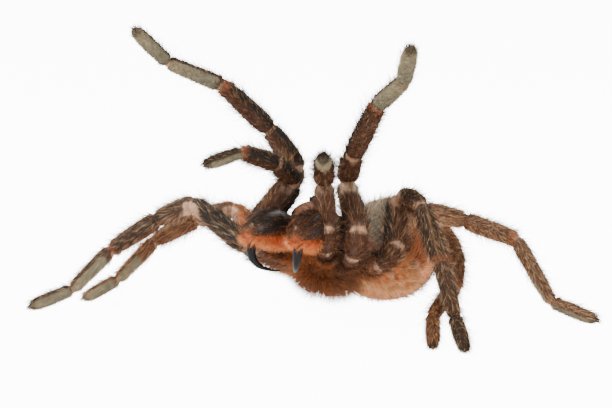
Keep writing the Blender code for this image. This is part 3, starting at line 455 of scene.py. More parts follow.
@dataclass
class Coat:
    """Gathers the hairs of one coat piece and joins them as one mesh."""

    name: str
    seed: int
    root_depth: float = 0.12
    unevenness: float = 0.18
    taper: float = 0.55
    ridge: float = 1.3
    floor_gap: float = 0.03
    patch: float = 0.003

    def __post_init__(self) -> None:
        """Start empty, with a seeded choice of roots."""
        self.choose = np.random.default_rng(self.seed)
        self.corners: list[np.ndarray] = []
        self.faces: list[np.ndarray] = []
        self.colours: list[np.ndarray] = []
        self.patches: list[np.ndarray] = []
        self.total = 0

    def cover(self, surface: Surface, lots: tuple[Lot, ...], look: bpy.types.Material, slot: str) -> None:
        """Root lots of hair on a skin, join them and set the coat out.

        Args:
            surface: the skin.
            lots: the kinds of hair with their numbers.
            look: the hair's material.
            slot: the record's material slot.
        """
        for lot in lots:
            self.scatter(surface, lot)
        Shelf.set_out(self.finish(look), slot)

    def scatter(self, surface: Surface, lot: Lot) -> None:
        """Root hairs on a skin where their chance lets them.

        Args:
            surface: the skin.
            lot: the kind of hair, its number, its chance and its stretch of the skin.
        """
        low, high = lot.stretch or surface.ends()
        along = self.choose.uniform(low, high, lot.count)
        angle = self.choose.uniform(0.0, 2.0 * math.pi, lot.count)
        keep = self.choose.random(lot.count) < lot.chance(along, angle)
        along, angle = along[keep], angle[keep]
        if not len(along):
            return
        first, last = surface.ends()
        place = np.stack([angle / (2.0 * math.pi), (along - first) / (last - first)], axis=1)
        rings = self.bend_hairs(lot.hair, *surface.frames(along, angle))
        self.add(lot.hair, rings, surface.tint(along, angle), place)

    def bend_hairs(self, hair: Hair, roots: np.ndarray, normal: np.ndarray, lie: np.ndarray) -> np.ndarray:
        """Shape tapered three-sided hairs that bend from their root towards their lie.

        Args:
            hair: the kind of hair.
            roots: root points in millimetres.
            normal: outward normals.
            lie: directions that the hairs lie along.

        Returns:
            For each hair the corners of its rings and its tip.
        """
        count = len(roots)
        lie = unit(lie - normal * np.sum(lie * normal, axis=1, keepdims=True))
        across = np.cross(normal, lie)
        swing = np.radians(self.choose.normal(0.0, hair.spread, count))[:, None]
        lie = unit(lie * np.cos(swing) + across * np.sin(swing))
        across = np.cross(normal, lie)
        jitter = self.choose.normal(0.0, self.unevenness, count)
        stand = np.radians(np.clip(hair.stand * (1.0 + jitter), 2.0, 88.0))[:, None]
        settle = np.radians(np.clip(hair.settle * (1.0 + jitter), 0.0, 88.0))[:, None]
        length = self.choose.uniform(*hair.length, count)[:, None]
        width = hair.width * self.choose.uniform(0.8, 1.25, count)[:, None]
        steps = hair.joints + 1
        point = roots - normal * self.root_depth
        rings = []
        for number in range(steps):
            share = number / steps
            lean = stand * (1.0 - share) + settle * share
            along = lie * np.cos(lean) + normal * np.sin(lean)
            up = unit(normal * np.cos(lean) - lie * np.sin(lean))
            half = width * (1.0 - self.taper * share) / 2.0
            rings += [point + across * half, point - across * half, point + up * half * self.ridge]
            point = point + along * length / steps
        block = np.stack([*rings, point], axis=1)
        block[:, :, 2] = np.maximum(block[:, :, 2], self.floor_gap)
        return block

    @staticmethod
    def pattern(steps: int) -> np.ndarray:
        """Faces of one hair.

        Args:
            steps: how many rings it has below its tip.

        Returns:
            Three corner numbers for each face.
        """
        faces = [(0, 2, 1)]
        sides = ((0, 1), (1, 2), (2, 0))
        for low in range(0, (steps - 1) * 3, 3):
            high = low + 3
            for one, two in sides:
                faces += [(low + one, low + two, high + two), (low + one, high + two, high + one)]
        top = (steps - 1) * 3
        return np.array(faces + [(top + one, top + two, steps * 3) for one, two in sides])

    def add(self, hair: Hair, rings: np.ndarray, colour: np.ndarray, place: np.ndarray) -> None:
        """Add shaped hairs with their colours and their patches of the unwrap.

        Args:
            hair: the kind of hair.
            rings: the corners of each hair.
            colour: the skin's colour at each root.
            place: each root's place on the skin's unwrap.
        """
        count, per = rings.shape[:2]
        steps = hair.joints + 1
        base = self.total + np.arange(count)[:, None, None] * per
        faces = base + self.pattern(steps)[None, :, :]
        shade = blend(colour, hair.tone, np.full(count, hair.tone_share))
        light = (self.choose.random(count) < hair.light).astype(float)
        shade = blend(shade, hair.light_colour, light * self.choose.uniform(0.4, 0.9, count))
        shade = shade * self.choose.uniform(0.7, 1.3, count)[:, None]
        levels = np.append(np.repeat(np.arange(steps) / steps, 3), 1.0)
        colours = shade[:, None, :] * (1.0 + hair.tip * levels[None, :, None])
        sideways = np.append(np.tile([0.0, 0.5, 1.0], steps), 0.5)
        patch = np.stack([sideways, levels], axis=1) * self.patch
        spots = place[:, None, :] * (1.0 - 2.0 * self.patch) + patch[None, :, :]
        self.corners.append(rings.reshape(-1, 3))
        self.faces.append(faces.reshape(-1, 3))
        self.colours.append(colours.reshape(-1, 3))
        self.patches.append(spots.reshape(-1, 2))
        self.total += count * per

    def finish(self, material: bpy.types.Material) -> bpy.types.Object:
        """Join all hairs as one mesh with its tints and its OFBake map.

        Args:
            material: the hair's material.

        Returns:
            The coat piece.
        """
        corners = Shelf.place(np.concatenate(self.corners)).astype(np.float32)
        faces = np.concatenate(self.faces).astype(np.int32)
        mesh = bpy.data.meshes.new(self.name)
        mesh.vertices.add(len(corners))
        mesh.vertices.foreach_set("co", corners.ravel())
        mesh.loops.add(faces.size)
        mesh.loops.foreach_set("vertex_index", faces.ravel())
        mesh.polygons.add(len(faces))
        mesh.polygons.foreach_set("loop_start", np.arange(0, faces.size, 3, dtype=np.int32))
        mesh.update(calc_edges=True)
        write_colour(mesh, np.concatenate(self.colours))
        patches = np.concatenate(self.patches).astype(np.float32)
        layer = mesh.uv_layers.new(name="OFBake")
        layer.uv.foreach_set("vector", patches[faces.ravel()].ravel())
        mesh.materials.append(material)
        mesh.shade_smooth()
        return bpy.data.objects.new(self.name, mesh)


@dataclass(frozen=True)
class Sockets:
    """Short ways to make the nodes of one tree and join them."""

    tree: bpy.types.NodeTree

    def node(self, kind: str, sockets: dict | None = None, **values: object) -> bpy.types.Node:
        """Add a node and set it.

        Args:
            kind: the node's type.
            sockets: values of its inputs, by name or number.
            values: its own properties.

        Returns:
            The node.
        """
        made = self.tree.nodes.new(kind)
        for key, value in values.items():
            setattr(made, key, value)
        for key, value in (sockets or {}).items():
            made.inputs[key].default_value = value
        return made

    def shared(self, group: bpy.types.NodeTree, sockets: dict) -> bpy.types.Node:
        """Add a node of a group, with values of its inputs."""
        return self.node("ShaderNodeGroup", sockets, node_tree=group)

    def link(self, source: bpy.types.NodeSocket, target: bpy.types.NodeSocket) -> None:
        """Join two sockets."""
        self.tree.links.new(source, target)

    def relief(self, grain: bpy.types.NodeTree, scale: float, strength: float) -> bpy.types.NodeSocket:
        """Add the grain as a bump.

        Args:
            grain: the group that gives fine relief.
            scale: its scale.
            strength: the bump's strength.

        Returns:
            The bumped normal.
        """
        group = self.shared(grain, {"Scale": scale})
        bump = self.node("ShaderNodeBump", {"Strength": strength, "Distance": 0.0001})
        self.link(group.outputs["Height"], bump.inputs["Height"])
        return bump.outputs["Normal"]


def start_group(name: str, takes: dict[str, str], gives: dict[str, str]) -> Sockets:
    """Start a shader node group.

    Args:
        name: the group's name.
        takes: its inputs with their kinds.
        gives: its outputs with their kinds.
    """
    group = bpy.data.node_groups.new(name, "ShaderNodeTree")
    for way, sockets in (("INPUT", takes), ("OUTPUT", gives)):
        for socket, kind in sockets.items():
            group.interface.new_socket(socket, in_out=way, socket_type=f"NodeSocket{kind}")
    return Sockets(group)


def mottle_group() -> bpy.types.NodeTree:
    """Group that mottles a colour with noise.

    Returns:
        The group, with Color, Scale and Amount in and Color out.
    """
    takes = {"Color": "Color", "Scale": "Float", "Amount": "Float"}
    kit = start_group("Mottle", takes, {"Color": "Color"})
    entry, out = kit.node("NodeGroupInput"), kit.node("NodeGroupOutput")
    place = kit.node("ShaderNodeTexCoord")
    noise = kit.node("ShaderNodeTexNoise", {"Detail": 4.0})
    kit.link(place.outputs["Object"], noise.inputs["Vector"])
    kit.link(entry.outputs["Scale"], noise.inputs["Scale"])
    span = kit.node("ShaderNodeMapRange", {"From Min": 0.3, "From Max": 0.7, "To Min": -1.0})
    kit.link(noise.outputs["Fac"], span.inputs["Value"])
    scale = kit.node("ShaderNodeMath", {2: 1.0}, operation="MULTIPLY_ADD")
    kit.link(span.outputs["Result"], scale.inputs[0])
    kit.link(entry.outputs["Amount"], scale.inputs[1])
    shade = kit.node("ShaderNodeVectorMath", operation="SCALE")
    kit.link(entry.outputs["Color"], shade.inputs[0])
    kit.link(scale.outputs["Value"], shade.inputs["Scale"])
    kit.link(shade.outputs["Vector"], out.inputs["Color"])
    return kit.tree


def grain_group() -> bpy.types.NodeTree:
    """Group that gives the height of fine pores and wrinkles.

    Returns:
        The group, with Scale in and Height out.
    """
    kit = start_group("Grain", {"Scale": "Float"}, {"Height": "Float"})
    entry, out = kit.node("NodeGroupInput"), kit.node("NodeGroupOutput")
    place = kit.node("ShaderNodeTexCoord")
    noise = kit.node("ShaderNodeTexNoise", {"Detail": 5.0, "Roughness": 0.6})
    cells = kit.node("ShaderNodeTexVoronoi")
    for texture in (noise, cells):
        kit.link(place.outputs["Object"], texture.inputs["Vector"])
        kit.link(entry.outputs["Scale"], texture.inputs["Scale"])
    total = kit.node("ShaderNodeMath", {1: 0.5}, operation="MULTIPLY_ADD")
    kit.link(cells.outputs["Distance"], total.inputs[0])
    kit.link(noise.outputs["Fac"], total.inputs[2])
    kit.link(total.outputs["Value"], out.inputs["Height"])
    return kit.tree


def start_material(name: str, values: dict) -> tuple[bpy.types.Material, Sockets, bpy.types.Node]:
    """Start a material and set the shader's own sockets.

    Args:
        name: the material's name.
        values: the shader's values that are equal all over.
    """
    material = bpy.data.materials.new(name)
    material.use_nodes = True
    shader = material.node_tree.nodes["Principled BSDF"]
    for key, value in values.items():
        shader.inputs[key].default_value = value
    return material, Sockets(material.node_tree), shader


@dataclass(frozen=True)
class Marked:
    """A finish that shows the Tint attribute, mottled, and shines where Gloss is high."""

    name: str
    scale: float
    amount: float
    rough: float
    bump: float
    bare_rough: float = 0.24
    grain_share: float = 2.4

    def make(self, mottle: bpy.types.NodeTree, grain: bpy.types.NodeTree) -> bpy.types.Material:
        """Make the material.

        Args:
            mottle: the group that mottles a colour.
            grain: the group that gives fine relief.

        Returns:
            The material.
        """
        material, kit, shader = start_material(self.name, {"Roughness": self.rough})
        tint = kit.node("ShaderNodeAttribute", attribute_name="Tint")
        group = kit.shared(mottle, {"Scale": self.scale, "Amount": self.amount})
        kit.link(tint.outputs["Color"], group.inputs["Color"])
        kit.link(group.outputs["Color"], shader.inputs["Base Color"])
        if self.bump:
            gloss = kit.node("ShaderNodeAttribute", attribute_name="Gloss")
            span = kit.node("ShaderNodeMapRange", {"To Min": self.rough, "To Max": self.bare_rough})
            kit.link(gloss.outputs["Fac"], span.inputs["Value"])
            kit.link(span.outputs["Result"], shader.inputs["Roughness"])
            relief = kit.relief(grain, self.scale * self.grain_share, self.bump)
            kit.link(relief, shader.inputs["Normal"])
        return material


@dataclass(frozen=True)
class Polished:
    """A dark glossy finish with faint mottling and fine relief."""

    name: str
    colour: Colour
    rough: float
    coat: float
    scale: float = 900.0
    amount: float = 0.3
    bump: float = 0.08
    shine: float = 0.5
    coat_rough: float = 0.05

    def make(self, mottle: bpy.types.NodeTree, grain: bpy.types.NodeTree) -> bpy.types.Material:
        """Make the material.

        Args:
            mottle: the group that mottles a colour.
            grain: the group that gives fine relief.

        Returns:
            The material.
        """
        values = {
            "Roughness": self.rough,
            "Specular IOR Level": self.shine,
            "Coat Weight": self.coat,
            "Coat Roughness": self.coat_rough,
        }
        material, kit, shader = start_material(self.name, values)
        sockets = {"Color": (*self.colour, 1.0), "Scale": self.scale, "Amount": self.amount}
        group = kit.shared(mottle, sockets)
        kit.link(group.outputs["Color"], shader.inputs["Base Color"])
        kit.link(kit.relief(grain, self.scale, self.bump), shader.inputs["Normal"])
        return material


@dataclass(frozen=True)
class LightTable:
    """The studio's white floor, as bright to the lens as the white wall behind it."""

    name: str = "floor"
    white: float = 0.8
    rough: float = 0.9
    bounce: float = 0.85
    glow: float = 11.0

    def make(self) -> bpy.types.Material:
        """Make the material.

        Returns:
            The material, brighter where the camera sees it.
        """
        values = {
            "Base Color": (self.white, self.white, self.white, 1.0),
            "Roughness": self.rough,
            "Emission Color": (1.0, 1.0, 1.0, 1.0),
        }
        material, kit, shader = start_material(self.name, values)
        seen = kit.node("ShaderNodeLightPath")
        glow = kit.node("ShaderNodeMath", {1: self.glow, 2: self.bounce}, operation="MULTIPLY_ADD")
        kit.link(seen.outputs["Is Camera Ray"], glow.inputs[0])
        kit.link(glow.outputs["Value"], shader.inputs["Emission Strength"])
        return material


@dataclass
class Finishes:
    """All finishes of the spider and the studio, and the materials made from them."""

    skin_look: Marked = Marked("cuticle", 900.0, 0.3, rough=0.6, bump=0.35)
    hair_look: Marked = Marked("hair", 500.0, 0.2, rough=0.5, bump=0.0)
    fang_look: Polished = Polished("fang", srgb(11, 9, 9), 0.3, shine=0.22, coat=0.0)
    eye_look: Polished = Polished("eye", srgb(16, 13, 14), 0.06, coat=1.0, bump=0.0)
    claw_look: Polished = Polished("claw", srgb(28, 21, 17), 0.3, coat=0.2)
    floor_look: LightTable = LightTable()

    def __post_init__(self) -> None:
        """Make the groups and the materials."""
        groups = mottle_group(), grain_group()
        self.skin = self.skin_look.make(*groups)
        self.hair = self.hair_look.make(*groups)
        self.fang = self.fang_look.make(*groups)
        self.eye = self.eye_look.make(*groups)
        self.claw = self.claw_look.make(*groups)
        self.floor = self.floor_look.make()


@dataclass(frozen=True)
class Membrane:
    """Soft skin at a joint: its ring, its crescent below, that crescent's spread, shift and lean."""

    ring: float
    patch: float
    spread: float = 1.6
    shift: float = 0.0
    lean: float = 0.0


# Membranes past the end of each segment, in millimetres.
MEMBRANES = {
    Segment.COXA: Membrane(0.05, 0.3, 1.8, 0.0, -0.9),
    Segment.TROCHANTER: Membrane(0.06, 0.5, 1.9, 0.0, 0.9),
    Segment.FEMUR: Membrane(0.22, 2.2, 2.2, 0.0, -0.25),
    Segment.PATELLA: Membrane(0.36, 0.25),
    Segment.TIBIA: Membrane(0.3, 0.85, 1.5, 0.2),
    Segment.METATARSUS: Membrane(0.14, 0.14),
}


@dataclass(frozen=True)
class Pad:
    """Where on the metatarsus a sole pad starts, and how far up it reaches on either side's limb."""

    start: float
    left: float
    right: float


@dataclass(frozen=True)
class Glow:
    """Pale hairs of a limb: their share among short and middle hairs, tips and colour."""

    short: float
    middle: float
    tip: float
    colour: Colour


# Colours of a limb's segments from the coxa outwards.
FORE_COLOURS = (*[PALETTE.shank] * 2, PALETTE.femur, *[PALETTE.shank] * 2, *[PALETTE.foot] * 2)
MIDDLE_COLOURS = (
    PALETTE.rust, PALETTE.shank, PALETTE.femur,
    PALETTE.mid, PALETTE.mid, PALETTE.mid_foot, PALETTE.mid,
)
HIND_COLOURS = (*[PALETTE.orange] * 2, PALETTE.hind_femur, *[PALETTE.hind] * 4)


@dataclass(frozen=True)
class LimbPlan:
    """One kind of limb: its coxa in the prosoma's frame, its segments' lengths and its looks.

    The knee is how much of its membrane shows.
    """

    forward: float
    left: float
    turn: float
    coxa: float
    trochanter: float
    narrow: float
    broad: float
    lengths: tuple[float, ...]
    scale: float
    knee: float
    pad: Pad
    glow: Glow
    colours: tuple[Colour, ...]


PLANS = {
    Kind.PALP: LimbPlan(
        forward=6.0, left=3.4, turn=30, coxa=9.6, trochanter=3.8, narrow=1.2, broad=2.3,
        lengths=(14.0, 8.5, 10.0, 9.5),
        scale=0.92, knee=0.3,
        pad=Pad(0.0, -0.05, -0.3),
        glow=Glow(0.05, 0.12, 0.12, PALETTE.gold),
        colours=FORE_COLOURS,
    ),
    Kind.LEG_1: LimbPlan(
        forward=3.6, left=4.8, turn=50, coxa=10.3, trochanter=4.8, narrow=1.25, broad=2.8,
        lengths=(20.0, 12.0, 15.5, 14.0, 11.0),
        scale=1.0, knee=0.4,
        pad=Pad(0.08, -0.35, -0.45),
        glow=Glow(0.05, 0.12, 0.12, PALETTE.gold),
        colours=FORE_COLOURS,
    ),
    Kind.LEG_2: LimbPlan(
        forward=0.6, left=5.4, turn=78, coxa=10.0, trochanter=4.8, narrow=1.3, broad=2.75,
        lengths=(17.5, 11.0, 13.5, 13.5, 10.5),
        scale=0.97, knee=1.6,
        pad=Pad(0.14, 0.0, -0.7),
        glow=Glow(0.07, 0.3, 0.2, PALETTE.straw),
        colours=MIDDLE_COLOURS,
    ),
    Kind.LEG_3: LimbPlan(
        forward=-2.6, left=5.4, turn=104, coxa=9.2, trochanter=4.2, narrow=1.3, broad=2.65,
        lengths=(15.5, 10.2, 11.5, 13.5, 9.5),
        scale=0.94, knee=1.5,
        pad=Pad(0.36, 0.0, -0.7),
        glow=Glow(0.14, 0.55, 0.3, PALETTE.salmon),
        colours=HIND_COLOURS,
    ),
    Kind.LEG_4: LimbPlan(
        forward=-5.6, left=4.4, turn=136, coxa=10.2, trochanter=4.4, narrow=1.3, broad=2.75,
        lengths=(19.0, 10.5, 15.0, 17.5, 11.0),
        scale=0.96, knee=0.6,
        pad=Pad(0.62, 0.0, 0.0),
        glow=Glow(0.3, 0.65, 0.3, PALETTE.straw),
        colours=HIND_COLOURS,
    ),
}

Pose = tuple[tuple[float, float | None], ...]

# Turn and rise of each segment, as in the solids. None sets a tarsus on the floor.
POSES: dict[tuple[Kind, Side], Pose] = {
    (Kind.PALP, Side.LEFT): ((-144, 47), (33, 25), (33, 14), (33, 14)),
    (Kind.PALP, Side.RIGHT): ((162, 43), (-6, 37), (-19, 19), (-21, -13)),
    (Kind.LEG_1, Side.LEFT): ((-138, 28), (42, 37), (65, 51), (56, 24), (40, 41)),
    (Kind.LEG_1, Side.RIGHT): ((168, 39), (-43, 54), (-37, 43), (-38, 23), (-24, 42)),
    (Kind.LEG_2, Side.LEFT): ((-151, 40), (60, -10), (67, -57), (54, -55), (42, None)),
    (Kind.LEG_2, Side.RIGHT): ((-78, 34), (-83, -24), (-55, -33), (-40, -44), (-44, None)),
    (Kind.LEG_3, Side.LEFT): ((-174, 35), (80, -42), (27, -33), (7, -17), (30, None)),
    (Kind.LEG_3, Side.RIGHT): ((-85, 44), (-72, -18), (-62, -27), (-51, -46), (-58, None)),
    (Kind.LEG_4, Side.LEFT): ((-162, 42), (131, -15), (83, -11), (75, -50), (99, None)),
    (Kind.LEG_4, Side.RIGHT): ((-150, 36), (-150, -10), (-160, -30), (-168, -31), (-172, None)),
}

# Height of a standing tarsus's end above the floor.
SOLE_HEIGHT = 0.95

# Radius along each segment, as part of its length and radius, as in the solids.
PROFILES = {
    Segment.TROCHANTER: ((0.0, 2.5), (0.5, 2.75), (1.0, 2.5)),
    Segment.FEMUR: ((0.0, 2.5), (0.25, 2.95), (0.6, 2.85), (0.88, 2.65), (1.0, 2.4)),
    Segment.PATELLA: ((0.0, 2.4), (0.3, 2.75), (0.7, 2.65), (1.0, 2.2)),
    Segment.TIBIA: ((0.0, 2.2), (0.2, 2.55), (0.7, 2.4), (1.0, 2.0)),
    Segment.METATARSUS: ((0.0, 1.85), (0.2, 2.1), (0.7, 1.95), (1.0, 1.7)),
    Segment.TARSUS: ((0.0, 1.7), (0.45, 1.9), (0.8, 1.8), (0.94, 1.5), (1.0, 0.8)),
}


@dataclass
class Track:
    """Samples of a limb's middle line in order, each with the bend that it lies on."""

    places: list[float] = field(default_factory=list)
    points: list[Vector] = field(default_factory=list)
    tangents: list[Vector] = field(default_factory=list)
    centres: list[Vector] = field(default_factory=list)
    radii: list[float] = field(default_factory=list)
    travelled: float = 0.0

    def add(
        self, point: Vector, tangent: Vector, centre: Vector | None = None, radius: float = 0.0
    ) -> None:
        """Add a sample past the last one.

        Args:
            point: its point.
            tangent: the line's direction there.
            centre: the middle of the bend that it lies on, if any.
            radius: that bend's radius.
        """
        if self.points:
            self.travelled += (point - self.points[-1]).length
        self.places.append(self.travelled)
        self.points.append(point)
        self.tangents.append(tangent)
        self.centres.append(point if centre is None else centre)
        self.radii.append(radius)

    def nearest(self, joint: Vector) -> int:
        """Number of the sample that lies nearest to a joint."""
        return min(range(len(self.points)), key=lambda index: (self.points[index] - joint).length)

    def carry(self, start: int, back: Vector) -> list[Vector]:
        """Carry a direction along the line both ways without twisting it.

        Args:
            start: the sample at which the direction is given.
            back: the direction there.

        Returns:
            The direction at every sample.
        """
        found: list[Vector] = [Vector()] * len(self.tangents)
        here = self.tangents[start]
        own = (back - here * back.dot(here)).normalized()
        for order in (range(start, len(found)), range(start, -1, -1)):
            moved, before = own, here
            for index in order:
                tangent = self.tangents[index]
                moved = before.rotation_difference(tangent) @ moved
                moved = (moved - tangent * moved.dot(tangent)).normalized()
                before = tangent
                found[index] = moved.copy()
        return found

    def turn_over(self, first: list[Vector], last: list[Vector], start: float, end: float) -> list[Vector]:
        """Turn the back from one direction to another over a stretch of the line.

        Args:
            first: the back before the stretch.
            last: the back after it.
            start: the stretch's start.
            end: its end.

        Returns:
            The back at every sample.
        """
        turned = []
        for place, tangent, before, after in zip(self.places, self.tangents, first, last):
            share = min(1.0, max(0.0, (place - start) / (end - start)))
            turn = math.atan2(tangent.dot(before.cross(after)), before.dot(after))
            share = share * share * (3.0 - 2.0 * share)
            turned.append(Matrix.Rotation(turn * share, 3, tangent) @ before)
        return turned


@dataclass
class Limb(Surface):
    """A leg or palp as one skin from its coxa to its claws."""

    kind: Kind
    side: Side
    bend_share: float = 1.2
    bend_clear: float = 0.5
    bend_limit: float = 0.47
    bend_least: float = 0.4
    plane_reach: float = 7.0
    plane_gap: float = 0.05
    plane_skip: float = 0.1
    twist_early: float = 1.0
    twist_late: float = 2.5
    sample_step: float = 0.5
    arc_step: float = 6.0
    sharp: float = 50.0
    depth: float = 0.36
    least: float = 0.25
    floor_gap: float = 0.06
    joint_dip: float = 0.3
    joint_reach: float = 0.7
    lip: float = 0.1
    lip_place: float = 1.3
    lip_reach: float = 0.45
    fold: float = 0.05
    fold_pitch: float = 0.62
    ring_step: float = 0.6
    joint_step: float = 0.16
    joint_stretch: float = 2.2
    tip_length: float = 0.9
    sides: int = 28

    def __post_init__(self) -> None:
        """Work out the middle line and the radii along it."""
        self.plan = PLANS[self.kind]
        self.name = f"{self.kind.value}_{self.side.word}"
        self.segments = [
            item for item in Segment if self.kind is not Kind.PALP or item is not Segment.METATARSUS
        ]
        self.stops = [0.0]
        self.planes: list[tuple[Vector, Vector, float]] = []
        self.trace(self.joints())
        self.measure()

    def joints(self) -> list[Vector]:
        """World points of the joints from the coxa's base to the tip.

        Returns:
            The points in millimetres.
        """
        plan, sign = self.plan, self.side.value
        angle = math.radians(plan.turn)
        start = on_body(plan.forward, plan.left * sign, 0.0)
        out = FORWARD * math.cos(angle) + LEFT * sign * math.sin(angle)
        points = [start, start + out * plan.coxa]
        pose = POSES[(self.kind, self.side)]
        points.append(points[-1] + (out + heading(*pose[0])).normalized() * plan.trochanter)
        for (turn, rise), length in zip(pose, plan.lengths):
            if rise is None:
                drop = SOLE_HEIGHT - points[-1].z
                rise = math.degrees(math.asin(max(-0.9, drop / length)))
            points.append(points[-1] + heading(turn, rise) * length)
        return points

    def trace(self, joints: list[Vector]) -> None:
        """Lay the middle line with an arc at each joint and the back's direction along it.

        Args:
            joints: the joints' points.
        """
        steps = [after - before for before, after in zip(joints, joints[1:])]
        cuts = [0.0]
        for before, after, part in zip(steps, steps[1:], self.segments[1:]):
            radius = PROFILES[part][0][1] * self.plan.scale * self.bend_share
            cut = radius * math.tan(before.angle(after) / 2.0)
            cuts.append(min(cut, self.bend_limit * before.length, self.bend_limit * after.length))
        cuts.append(0.0)
        track = Track()
        for index, step in enumerate(steps):
            line = step.normalized()
            begin = joints[index] + line * cuts[index]
            end = joints[index + 1] - line * cuts[index + 1]
            count = max(1, math.ceil((end - begin).length / self.sample_step))
            for number in range(count + 1):
                track.add(begin.lerp(end, number / count), line)
            if index < len(steps) - 1:
                self.bend(track, end, line, steps[index + 1].normalized(), cuts[index + 1])
        self.stops.append(track.travelled)
        dorsals = self.backs(track, joints, steps)
        self.places, self.radii = np.array(track.places), np.array(track.radii)
        self.line, self.tangents, self.dorsals, self.centres = (
            np.array([tuple(item) for item in values])
            for values in (track.points, track.tangents, dorsals, track.centres)
        )

    def bend(self, track: Track, end: Vector, line: Vector, turned: Vector, cut: float) -> None:
        """Lay the arc at a joint and note its middle and the plane that halves it.

        Args:
            track: the samples so far.
            end: where the straight stretch ends.
            line: the direction before the joint.
            turned: the direction past it.
            cut: how far before the joint the arc starts.
        """
        angle = line.angle(turned)
        if cut < 1e-6 or angle < 1e-4:
            self.stops.append(track.travelled)
            self.planes.append((end, line, angle))
            return
        radius = cut / math.tan(angle / 2.0)
        axis = line.cross(turned).normalized()
        centre = end + axis.cross(line) * radius
        pieces = max(2, math.ceil(angle / math.radians(self.arc_step)))
        self.stops.append(track.travelled + radius * angle / 2.0)
        half = Matrix.Rotation(angle / 2.0, 3, axis)
        self.planes.append((centre + half @ (end - centre), half @ line, angle))
        for number in range(1, pieces):
            spin = Matrix.Rotation(angle * number / pieces, 3, axis)
            track.add(centre + spin @ (end - centre), spin @ line, centre, radius)

    def backs(self, track: Track, joints: list[Vector], steps: list[Vector]) -> list[Vector]:
        """The back's direction: up at the body, outside of the knee, and up again on a standing foot.

        Args:
            track: the middle line's samples.
            joints: the joints' points.
            steps: the straight way from joint to joint.

        Returns:
            The back at every sample.
        """
        dorsals = track.carry(0, UP)
        folded = steps[2].normalized() - steps[3].normalized()
        knee = track.carry(track.nearest(joints[3]), folded)
        dorsals = track.turn_over(dorsals, knee, self.stops[1] - self.twist_early, self.stops[2])
        if POSES[(self.kind, self.side)][-1][1] is None:
            flat = track.carry(track.nearest(joints[-2]), Vector((0.0, 0.0, 1.0)))
            dorsals = track.turn_over(dorsals, flat, self.stops[3] + self.twist_late, self.stops[5])
        return dorsals

    def measure(self) -> None:
        """Lay the radii of all segments along the middle line."""
        rows = []
        plan = self.plan
        bases = ((0.0, plan.narrow, plan.broad), (0.85, plan.broad, plan.broad))
        for part, low, top in zip(self.segments, self.stops, self.stops[1:]):
            if part is Segment.COXA:
                for share, width, height in (*bases, (1.0, plan.broad * 0.88, plan.broad * 0.88)):
                    rows.append((low + (top - low) * share, width, height))
                continue
            for share, radius in PROFILES[part]:
                place = low + (top - low) * share + 1e-4 * (share == 0.0)
                rows.append((place, radius * plan.scale, radius * plan.scale))
        self.marks, self.wide, self.high = np.array(rows).T

    def ends(self) -> tuple[float, float]:
        """First and last place along the middle line."""
        return 0.0, float(self.places[-1])

    def read(self, along: np.ndarray, values: np.ndarray) -> np.ndarray:
        """Values of the middle line at places along it."""
        return np.stack([np.interp(along, self.places, values[:, axis]) for axis in range(3)], axis=1)

    def middles(self, along: np.ndarray) -> np.ndarray:
        """Points of the middle line."""
        return self.read(along, self.line)

    def points(self, along: np.ndarray, angle: np.ndarray) -> np.ndarray:
        """Points of the skin, narrowed at the joints and kept clear in tight bends.

        Args:
            along: places along the skin.
            angle: angles round it.

        Returns:
            The points in millimetres.
        """
        middle = self.read(along, self.line)
        tangent = unit(self.read(along, self.tangents))
        back = self.read(along, self.dorsals)
        back = unit(back - tangent * np.sum(back * tangent, axis=1, keepdims=True))
        across = np.cross(tangent, back)
        dip = np.full(len(along), self.depth)
        for stop in self.stops[1:-1]:
            off = along - stop
            dip = dip + self.joint_dip * np.exp(-((off / self.joint_reach) ** 2))
            dip = dip - self.lip * np.exp(-(((np.abs(off) - self.lip_place) / self.lip_reach) ** 2))
        dip = dip - self.bare(along, angle) * self.fold * np.cos(along * 2.0 * math.pi / self.fold_pitch)
        wide = np.maximum(np.interp(along, self.marks, self.wide) - dip, self.least)[:, None]
        high = np.maximum(np.interp(along, self.marks, self.high) - dip, self.least)[:, None]
        points = middle + back * np.cos(angle)[:, None] * high + across * np.sin(angle)[:, None] * wide
        points = self.clear_bends(along, middle, points)
        points[:, 2] = np.maximum(points[:, 2], self.floor_gap)
        return points

    def clear_bends(self, along: np.ndarray, middle: np.ndarray, points: np.ndarray) -> np.ndarray:
        """Keep the inner side of tight bends from folding.

        Args:
            along: places along the line.
            middle: the line's points there.
            points: the skin's points.

        Returns:
            The points, moved where they had to be.
        """
        nearest = np.clip(np.searchsorted(self.places, along), 0, len(self.places) - 1)
        radius = self.radii[nearest]
        inward = unit(self.centres[nearest] - middle)
        reach = np.sum((points - middle) * inward, axis=1)
        limit = np.maximum(self.bend_least, radius - self.bend_clear)
        over = np.where(radius > 0.0, np.maximum(reach - limit, 0.0), 0.0)
        points = points - inward * over[:, None]
        for stop, (point, normal, bend) in zip(self.stops[1:-1], self.planes):
            if bend < math.radians(self.sharp):
                continue
            normal = np.array(normal)
            past = (points - np.array(point)) @ normal
            sign = np.where(along < stop, 1.0, -1.0)
            off = np.abs(along - stop)
            over = np.where(off < self.plane_reach, np.maximum(past * sign + self.plane_gap, 0.0), 0.0)
            over = np.where(off < self.plane_skip, 0.0, over)
            points = points - normal * (over * sign)[:, None]
        return points

    def index_of(self, along: np.ndarray) -> np.ndarray:
        """Number of the limb's own segment at each place."""
        return np.clip(np.searchsorted(self.stops, along) - 1, 0, len(self.segments) - 1)

    def segment_of(self, along: np.ndarray) -> np.ndarray:
        """Number of the segment at each place, by the Segment names."""
        return np.array([item.value for item in self.segments])[self.index_of(along)]

    def on(self, part: Segment, along: np.ndarray) -> np.ndarray:
        """Whether each place lies on a segment."""
        return self.segment_of(along) == part.value

